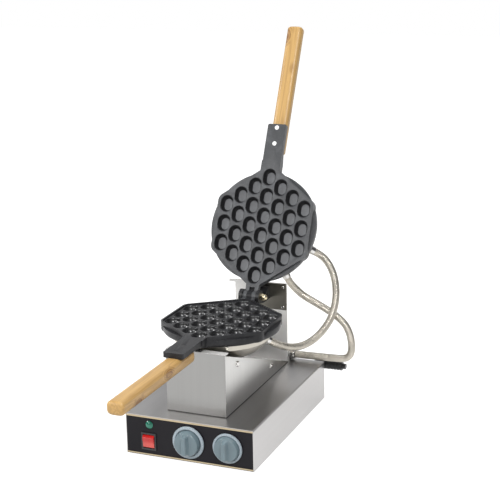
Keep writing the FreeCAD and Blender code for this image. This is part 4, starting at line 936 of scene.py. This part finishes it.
@dataclass
class PanHalf:
    """One half of the pan: casting, grip, heater and cover."""

    side: str
    body: str
    place: Placing
    coat: CoatedCasting
    screw: BrightSteel
    face: float
    cell_depth: float = 9.0
    cell_radius: float = 10.75
    cell_stretch: float = 3.0
    cell_across: float = 22.3
    cell_along: float = 32.5
    cell_columns: int = 3
    cell_rows: int = 6
    rim_round: float = 1.3
    rim_steps: int = 4
    rim_turn: float = math.radians(15)
    near: float = 0.2
    off_rim: float = 0.15
    off_face: float = 0.05
    grip_half_width: float = 13.0
    grip_top: float = -8.0
    grip_depth: float = 20.0
    grip_start: float = 124.0
    grip_end: float = 344.0
    soft_end: float = 5.0
    straight_from: float = 12.0
    section_power: float = 3.4
    grain_shift: float = 0.37

    def grip(self) -> Piece:
        """The wooden grip: a superellipse carried along the neck, drawn in roundly at its ends.

        Returns:
            The piece.
        """
        along = self.soft_end * (1 - np.cos(np.linspace(0, math.pi / 2, 7)))
        long = np.concatenate([self.grip_start + along,
                               np.linspace(self.grip_start + self.straight_from,
                                           self.grip_end - self.straight_from, 26),
                               self.grip_end - along[::-1]])
        depth = np.minimum(np.minimum(long - self.grip_start, self.grip_end - long), self.soft_end)
        inset = self.soft_end - np.sqrt(np.maximum(0, self.soft_end ** 2 - (self.soft_end - depth) ** 2))
        angle = circle(72)
        flat_x, flat_z = (np.sign(side) * np.abs(side) ** (2 / self.section_power)
                          for side in (np.cos(angle), np.sin(angle)))
        half_z = self.grip_depth / 2
        rings = np.stack([flat_x * (self.grip_half_width - inset[:, None]),
                          np.repeat(-long[:, None], len(angle), axis=1),
                          flat_z * (half_z - inset[:, None]) + self.grip_top - half_z], axis=-1)
        piece = capped_tube(self.side + "_grip_wood", rings, self.place)
        self.store_grain(piece)
        dress(piece, self.body, WOOD)
        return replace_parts(piece, self.side + "_grip")

    def store_grain(self, piece: Piece) -> None:
        """Stores each point's place across, through and along the stick, in metres.

        Args:
            piece: The grip, already in place.
        """
        across, along, high = self.local(points_of(piece.data))
        shift = self.grain_shift if self.side == "upper" else 0.0
        grain = np.stack([across, high - self.grip_top, -along - self.grip_start], axis=-1) * MM + shift
        attribute = piece.data.attributes.new("grain", "FLOAT_VECTOR", "POINT")
        attribute.data.foreach_set("vector", grain.astype(np.float32).ravel())

    def local(self, points: np.ndarray) -> tuple[np.ndarray, np.ndarray, np.ndarray]:
        """Places in the plate's own frame: across, along and high, in millimetres.

        Args:
            points: An (n, 3) array in metres, in the object's frame.

        Returns:
            Three arrays of n numbers.
        """
        ends = self.place(np.vstack([np.zeros(3), np.eye(3)]))
        away = points / MM - ends[0]
        return tuple(away @ (ends[axis] - ends[0]) for axis in (1, 2, 3))

    def from_cell(self, across: np.ndarray, along: np.ndarray) -> np.ndarray:
        """Distance of each place from the straight spine of the nearest oval cell.

        Args:
            across: Places across the plate.
            along: Places along it.

        Returns:
            Distances in millimetres.
        """
        columns = np.arange(-self.cell_columns, self.cell_columns + 1)
        counts = self.cell_rows - np.abs(columns)
        at_x = np.repeat(columns * self.cell_across, counts)
        at_y = np.concatenate([np.arange(count) - (count - 1) / 2 for count in counts]) * self.cell_along
        off_y = np.maximum(np.abs(along[:, None] - at_y) - self.cell_stretch, 0)
        return np.hypot(across[:, None] - at_x, off_y).min(axis=1)

    def round_rims(self, work: bmesh.types.BMesh) -> None:
        """Rounds each cell's rim, where its wall meets the face.

        Args:
            work: The merged copy of the casting.
        """
        across, along, high = self.local(np.array([tuple(vert.co) for vert in work.verts]))
        on_rim = ((np.abs(self.from_cell(across, along) - self.cell_radius) < self.off_rim)
                  & (np.abs(high - self.face) < self.off_face))
        work.verts.index_update()
        rims = [edge for edge in work.edges if all(on_rim[vert.index] for vert in edge.verts)
                and len(edge.link_faces) == 2 and edge.calc_face_angle() > self.rim_turn]
        bmesh.ops.bevel(work, geom=rims, offset=self.rim_round * MM, offset_type="OFFSET",
                        segments=self.rim_steps, profile=0.5, affect="EDGES", clamp_overlap=False)

    def store_depth(self, plate: Piece) -> None:
        """Stores how deep each point lies in a cell, from 0 on the land to 1 on a cell's floor.

        Args:
            plate: The casting, in place.
        """
        across, along, high = self.local(points_of(plate.data))
        inside = ((self.from_cell(across, along) < self.cell_radius + self.rim_round + self.near)
                  & (high > self.face - self.cell_depth - self.near))
        depth = np.where(inside, np.clip((self.face - high) / self.cell_depth, 0, 1), 0.0)
        attribute = plate.data.attributes.new("depth", "FLOAT", "POINT")
        attribute.data.foreach_set("value", depth.astype(np.float32))

    def build(self) -> None:
        """Dresses the casting and builds the grip."""
        plate = softened(self.side + "_plate", self.coat, 0.9, 3, 34.0, self.round_rims)
        self.store_depth(plate)
        self.grip()
        paint(STEEL_DOME, self.side + "_cover")
        paint(self.screw, self.side + "_grip_screws")
        paint(STEEL_BRIGHT, self.side + "_cover_screws")
        paint(STEEL_HEATED, self.side + "_heater", self.side + "_heater_clamp")


# The hoses' routes, in metres.
LINK_POINTS = (
    (0.05213, 0.06213, 0.13442), (0.05845, 0.06966, 0.12754), (0.0619, 0.0852, 0.1196),
    (0.0727, 0.1032, 0.1111), (0.0859, 0.1222, 0.1093), (0.0981, 0.1402, 0.1154),
    (0.1083, 0.1572, 0.1272), (0.1159, 0.1722, 0.1428), (0.1190, 0.1862, 0.1642),
    (0.1162, 0.1982, 0.1867), (0.1082, 0.2072, 0.2097), (0.0955, 0.2097, 0.2290),
    (0.08350, 0.21034, 0.23762), (0.07543, 0.20390, 0.24373),
)
FEED_POINTS = (
    (0.0560, 0.1708, 0.0755), (0.0680, 0.1708, 0.0755), (0.0780, 0.1712, 0.0755),
    (0.0990, 0.1724, 0.0755), (0.1200, 0.1738, 0.0753), (0.1395, 0.1755, 0.0756),
    (0.1480, 0.1768, 0.0834), (0.1494, 0.1784, 0.0970), (0.1456, 0.1818, 0.1145),
    (0.1364, 0.1852, 0.1307), (0.1204, 0.1882, 0.1425), (0.0989, 0.1917, 0.1524),
    (0.0774, 0.1942, 0.1614), (0.0590, 0.1947, 0.1701), (0.0469, 0.1922, 0.1817),
    (0.03986, 0.18770, 0.19181), (0.03601, 0.18345, 0.20235),
)


@dataclass
class Hose:
    """A length of braided hose on a smooth route."""

    name: str
    points: Sequence[Triple]
    first_body: str
    last_body: str
    replaced: str | None = None
    radius: float = HOSE_DIAMETER / 2
    count: int = 40
    least_step: float = 0.05
    start_side: Triple = (0.0, -0.35, 0.94)

    def line(self) -> np.ndarray:
        """Reads the route's spline.

        Returns:
            An (n, 3) array in millimetres.
        """
        curve = bpy.data.curves.new(self.name + "_route", "CURVE")
        curve.dimensions = "3D"
        curve.resolution_u = 14
        spline = curve.splines.new("NURBS")
        spline.points.add(len(self.points) - 1)
        spline.points.foreach_set("co", np.array([(*point, 1.0) for point in self.points]).ravel())
        spline.order_u = 3
        spline.use_endpoint_u = True
        holder = stand(curve.name, curve)
        bpy.context.view_layer.update()
        read = bpy.data.meshes.new_from_object(holder)
        points = points_of(read).astype(float) / MM
        bpy.data.objects.remove(holder)
        bpy.data.meshes.remove(read)
        bpy.data.curves.remove(curve)
        step = np.linalg.norm(np.diff(points, axis=0), axis=1)
        return points[np.concatenate([[True], step > self.least_step])]

    def frames(self, line: np.ndarray) -> tuple[np.ndarray, np.ndarray]:
        """Two side directions at each point of a line, carried along without twist.

        Args:
            line: The centre line.

        Returns:
            Two (n, 3) arrays square to the line and to each other.
        """
        way = unit(np.gradient(line, axis=0))
        up = np.array(self.start_side)
        first = unit(up - (way @ up)[:, None] * way)
        return first, np.cross(way, first)

    def build(self) -> Piece:
        """The hose: a circle of points carried along the line, with a UV map of turns and travel.

        Returns:
            The piece.
        """
        line = self.line()
        first, second = self.frames(line)
        angle = circle(self.count)[:, None]
        spokes = np.cos(angle) * first[:, None] + np.sin(angle) * second[:, None]
        rings = line[:, None] + self.radius * spokes
        quads, fans = tube_faces(len(line), self.count)
        points = np.vstack([rings.reshape(-1, 3), line[0], line[-1]])
        piece = put_mesh(self.name, points, quads.tolist() + fans.tolist())
        travel = np.concatenate([[0.0], np.cumsum(np.linalg.norm(np.diff(line, axis=0), axis=1))])
        self.map_run(piece, travel, quads)
        piece.data.set_sharp_from_angle(angle=math.radians(50))
        if self.first_body != self.last_body:
            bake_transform(piece, self.first_body, self.last_body, self.points[0], self.points[-1])
        dress(piece, self.first_body, BRAID)
        if self.replaced:
            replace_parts(piece, self.replaced)
        LOG.info("%s is %.1f mm long", self.name, travel[-1])
        return piece

    def map_run(self, piece: Piece, travel: np.ndarray, quads: np.ndarray) -> None:
        """Stores turns round the hose and millimetres along it for each face corner.

        Args:
            piece: The hose.
            travel: Distance along the line at each ring.
            quads: The wall's faces, which come first in the mesh.
        """
        layer = piece.data.uv_layers.new(name="run")
        values = np.zeros((len(piece.data.loops), 2), np.float32)
        values[:quads.size, 0] = ((quads[:, :1] % self.count + (0, 1, 1, 0)) / self.count).ravel()
        values[:quads.size, 1] = travel[quads // self.count].ravel()
        layer.data.foreach_set("uv", values.ravel())


@dataclass
class Hoses:
    """The two hoses and their glands."""

    first_split: int = 6
    second_split: int = 10

    def between(self, index: int) -> Triple:
        """The middle of the run that starts at a point of the feed route."""
        return tuple(np.mean(FEED_POINTS[index:index + 2], axis=0).tolist())

    def build(self) -> None:
        """One link hose, and a feed hose in three lengths that follow the bodies they lie between."""
        Hose("link_hose", LINK_POINTS, "lower_pan", "upper_pan", "hose_link").build()
        low = self.between(self.first_split)
        high = self.between(self.second_split)
        Hose("feed_hose_base", (*FEED_POINTS[:self.first_split + 1], low), "base", "turning_head",
             "hose_feed").build()
        Hose("feed_hose_middle", (low, *FEED_POINTS[self.first_split + 1:self.second_split + 1], high),
             "turning_head", "lower_pan").build()
        Hose("feed_hose_lid", (high, *FEED_POINTS[self.second_split + 1:]), "lower_pan", "upper_pan").build()
        paint(STEEL_BRIGHT, "lower_gland", "upper_gland_link", "upper_gland_feed")


# ---- stage

@dataclass
class Studio:
    """Floor, world, lamps and camera."""

    azimuth: float = 22.714
    elevation: float = 15.04
    roll: float = -1.112
    camera_at: Triple = (0.7551, -1.6874, 0.7870)
    focal_share: float = 1279.1 / 500.0
    sensor: float = 36.0
    floor_half: float = 6.0
    floor_glow: float = 0.86
    floor_tint: Triple = (0.52, 0.52, 0.52)
    flag_tint: Triple = (0.10, 0.10, 0.11)
    lamp_aim: Triple = (0.0, 0.05, 0.28)

    def hold(self, name: str, data: Any, axes: Sequence[np.ndarray], at: Triple) -> Piece:
        """Adds a camera or a lamp.

        Args:
            name: Its name.
            data: Its settings.
            axes: Its right, up and back directions.
            at: Where it stands, in metres.

        Returns:
            The object.
        """
        holder = stand(name, data)
        holder.matrix_world = Matrix([*np.column_stack([*axes, at]).tolist(), (0.0, 0.0, 0.0, 1.0)])
        return holder

    def camera(self) -> None:
        """Sets the camera from its bearing, rise and roll."""
        bearing, rise, lean = (math.radians(angle) for angle in (self.azimuth, self.elevation, self.roll))
        forward = np.array([-math.sin(bearing) * math.cos(rise), math.cos(bearing) * math.cos(rise),
                            -math.sin(rise)])
        level = np.array([math.cos(bearing), math.sin(bearing), 0.0])
        over = np.cross(level, forward)
        right = level * math.cos(lean) + over * math.sin(lean)
        upward = -level * math.sin(lean) + over * math.cos(lean)
        data = bpy.data.cameras.new("camera")
        data.sensor_width = self.sensor
        data.lens = self.focal_share * self.sensor
        data.clip_start, data.clip_end = 0.1, 50.0
        bpy.context.scene.camera = self.hold("camera", data, (right, upward, -forward), self.camera_at)

    def floor(self) -> None:
        """A wide pale floor that keeps the shadow and shows white to the camera."""
        half = self.floor_half / MM
        points = np.array([[-half, -half, 0], [half, -half, 0], [half, half, 0], [-half, half, 0]], float)
        piece = put_mesh("floor", points, [[0, 1, 2, 3]], smooth=False)
        material, graph = new_material("floor_pale")
        rays, glossy = graph.rays()
        matt = graph.node("ShaderNodeBsdfDiffuse", {}, {"Color": (*self.floor_tint, 1.0)})
        glow = graph.node("ShaderNodeEmission", {}, {"Color": WHITE,
                                                     "Strength": rays.larger(glossy) * self.floor_glow})
        graph.close(graph.node("ShaderNodeAddShader", {}, {0: matt, 1: glow}), "ShaderNodeOutputMaterial")
        piece.data.materials.append(material)

    def world(self) -> None:
        """A soft room: white to the camera, plain as a light, and with dark sides where metal mirrors it."""
        world = bpy.data.worlds.new("room")
        world.use_nodes = True
        bpy.context.scene.world = world
        graph = Graph(world.node_tree)
        rays, glossy = graph.rays()
        coords = graph.node("ShaderNodeTexCoord", {}, {}, "Generated")
        _, _, height = graph.parts(coords)
        room = graph.ramp(height * 0.5 + 0.5, [(0.0, (0.7, 0.7, 0.7)), (0.5, (0.95, 0.95, 0.95)),
                                               (0.64, (0.90, 0.90, 0.90)), (0.82, (0.30, 0.31, 0.33))])
        bearing = math.radians(self.azimuth)
        aside = graph.node("ShaderNodeVectorMath", {"operation": "DOT_PRODUCT"},
                           {0: coords, 1: (math.cos(bearing), math.sin(bearing), 0.0)}, "Value").size()
        room = graph.mix(aside.between(0.55, 0.85), room, self.flag_tint)
        plain, white, mirrored = (graph.node("ShaderNodeBackground", {}, {"Color": colour, "Strength": power})
                                  for colour, power in ((WHITE, 0.36), (WHITE, 1.0), (room, 0.95)))
        inner = graph.node("ShaderNodeMixShader", {}, {0: glossy, 1: plain, 2: mirrored})
        outer = graph.node("ShaderNodeMixShader", {}, {0: rays, 1: inner, 2: white})
        graph.close(outer, "ShaderNodeOutputWorld")

    def lamp(self, name: str, at: Triple, size: float, power: float) -> None:
        """One square soft lamp.

        Args:
            name: The lamp's name.
            at: Where it stands, in metres.
            size: Its side, in metres.
            power: Its power, in watts.
        """
        data = bpy.data.lights.new(name, "AREA")
        data.shape = "SQUARE"
        data.size = size
        data.energy = power
        away = unit(np.array(at) - self.lamp_aim)
        side = unit(np.cross([0.0, 0.0, 1.0], away))
        self.hold(name, data, (side, np.cross(away, side), away), at)

    def build(self) -> None:
        """Sets the whole stage."""
        self.camera()
        self.floor()
        self.world()
        self.lamp("key_lamp", (1.15, -1.45, 2.05), 0.45, 30.0)
        self.lamp("side_lamp", (-2.0, -0.72, 1.45), 0.45, 22.0)
        self.lamp("front_lamp", (-0.9, -2.0, 1.35), 1.1, 16.0)
        self.lamp("top_lamp", (0.1, 0.7, 2.3), 1.4, 14.0)
        bpy.context.scene.view_settings.view_transform = "Standard"


def main() -> None:
    """Builds the pan piece by piece, then its stage."""
    logging.basicConfig(level=logging.INFO, format="%(name)s: %(message)s")
    BaseBox().build()
    ControlPanel().build()
    RiserAndTray().build()
    HingeColumn().build()
    PanHalf("lower", "lower_pan", lower_place, PAN_COAT_SHADED, STEEL_BLACKED, -2.15).build()
    PanHalf("upper", "upper_pan", lid_place, LID_COAT, STEEL_WHITE, -0.15).build()
    Hoses().build()
    Studio().build()
    bpy.context.view_layer.update()


if __name__ == "__main__":
    main()
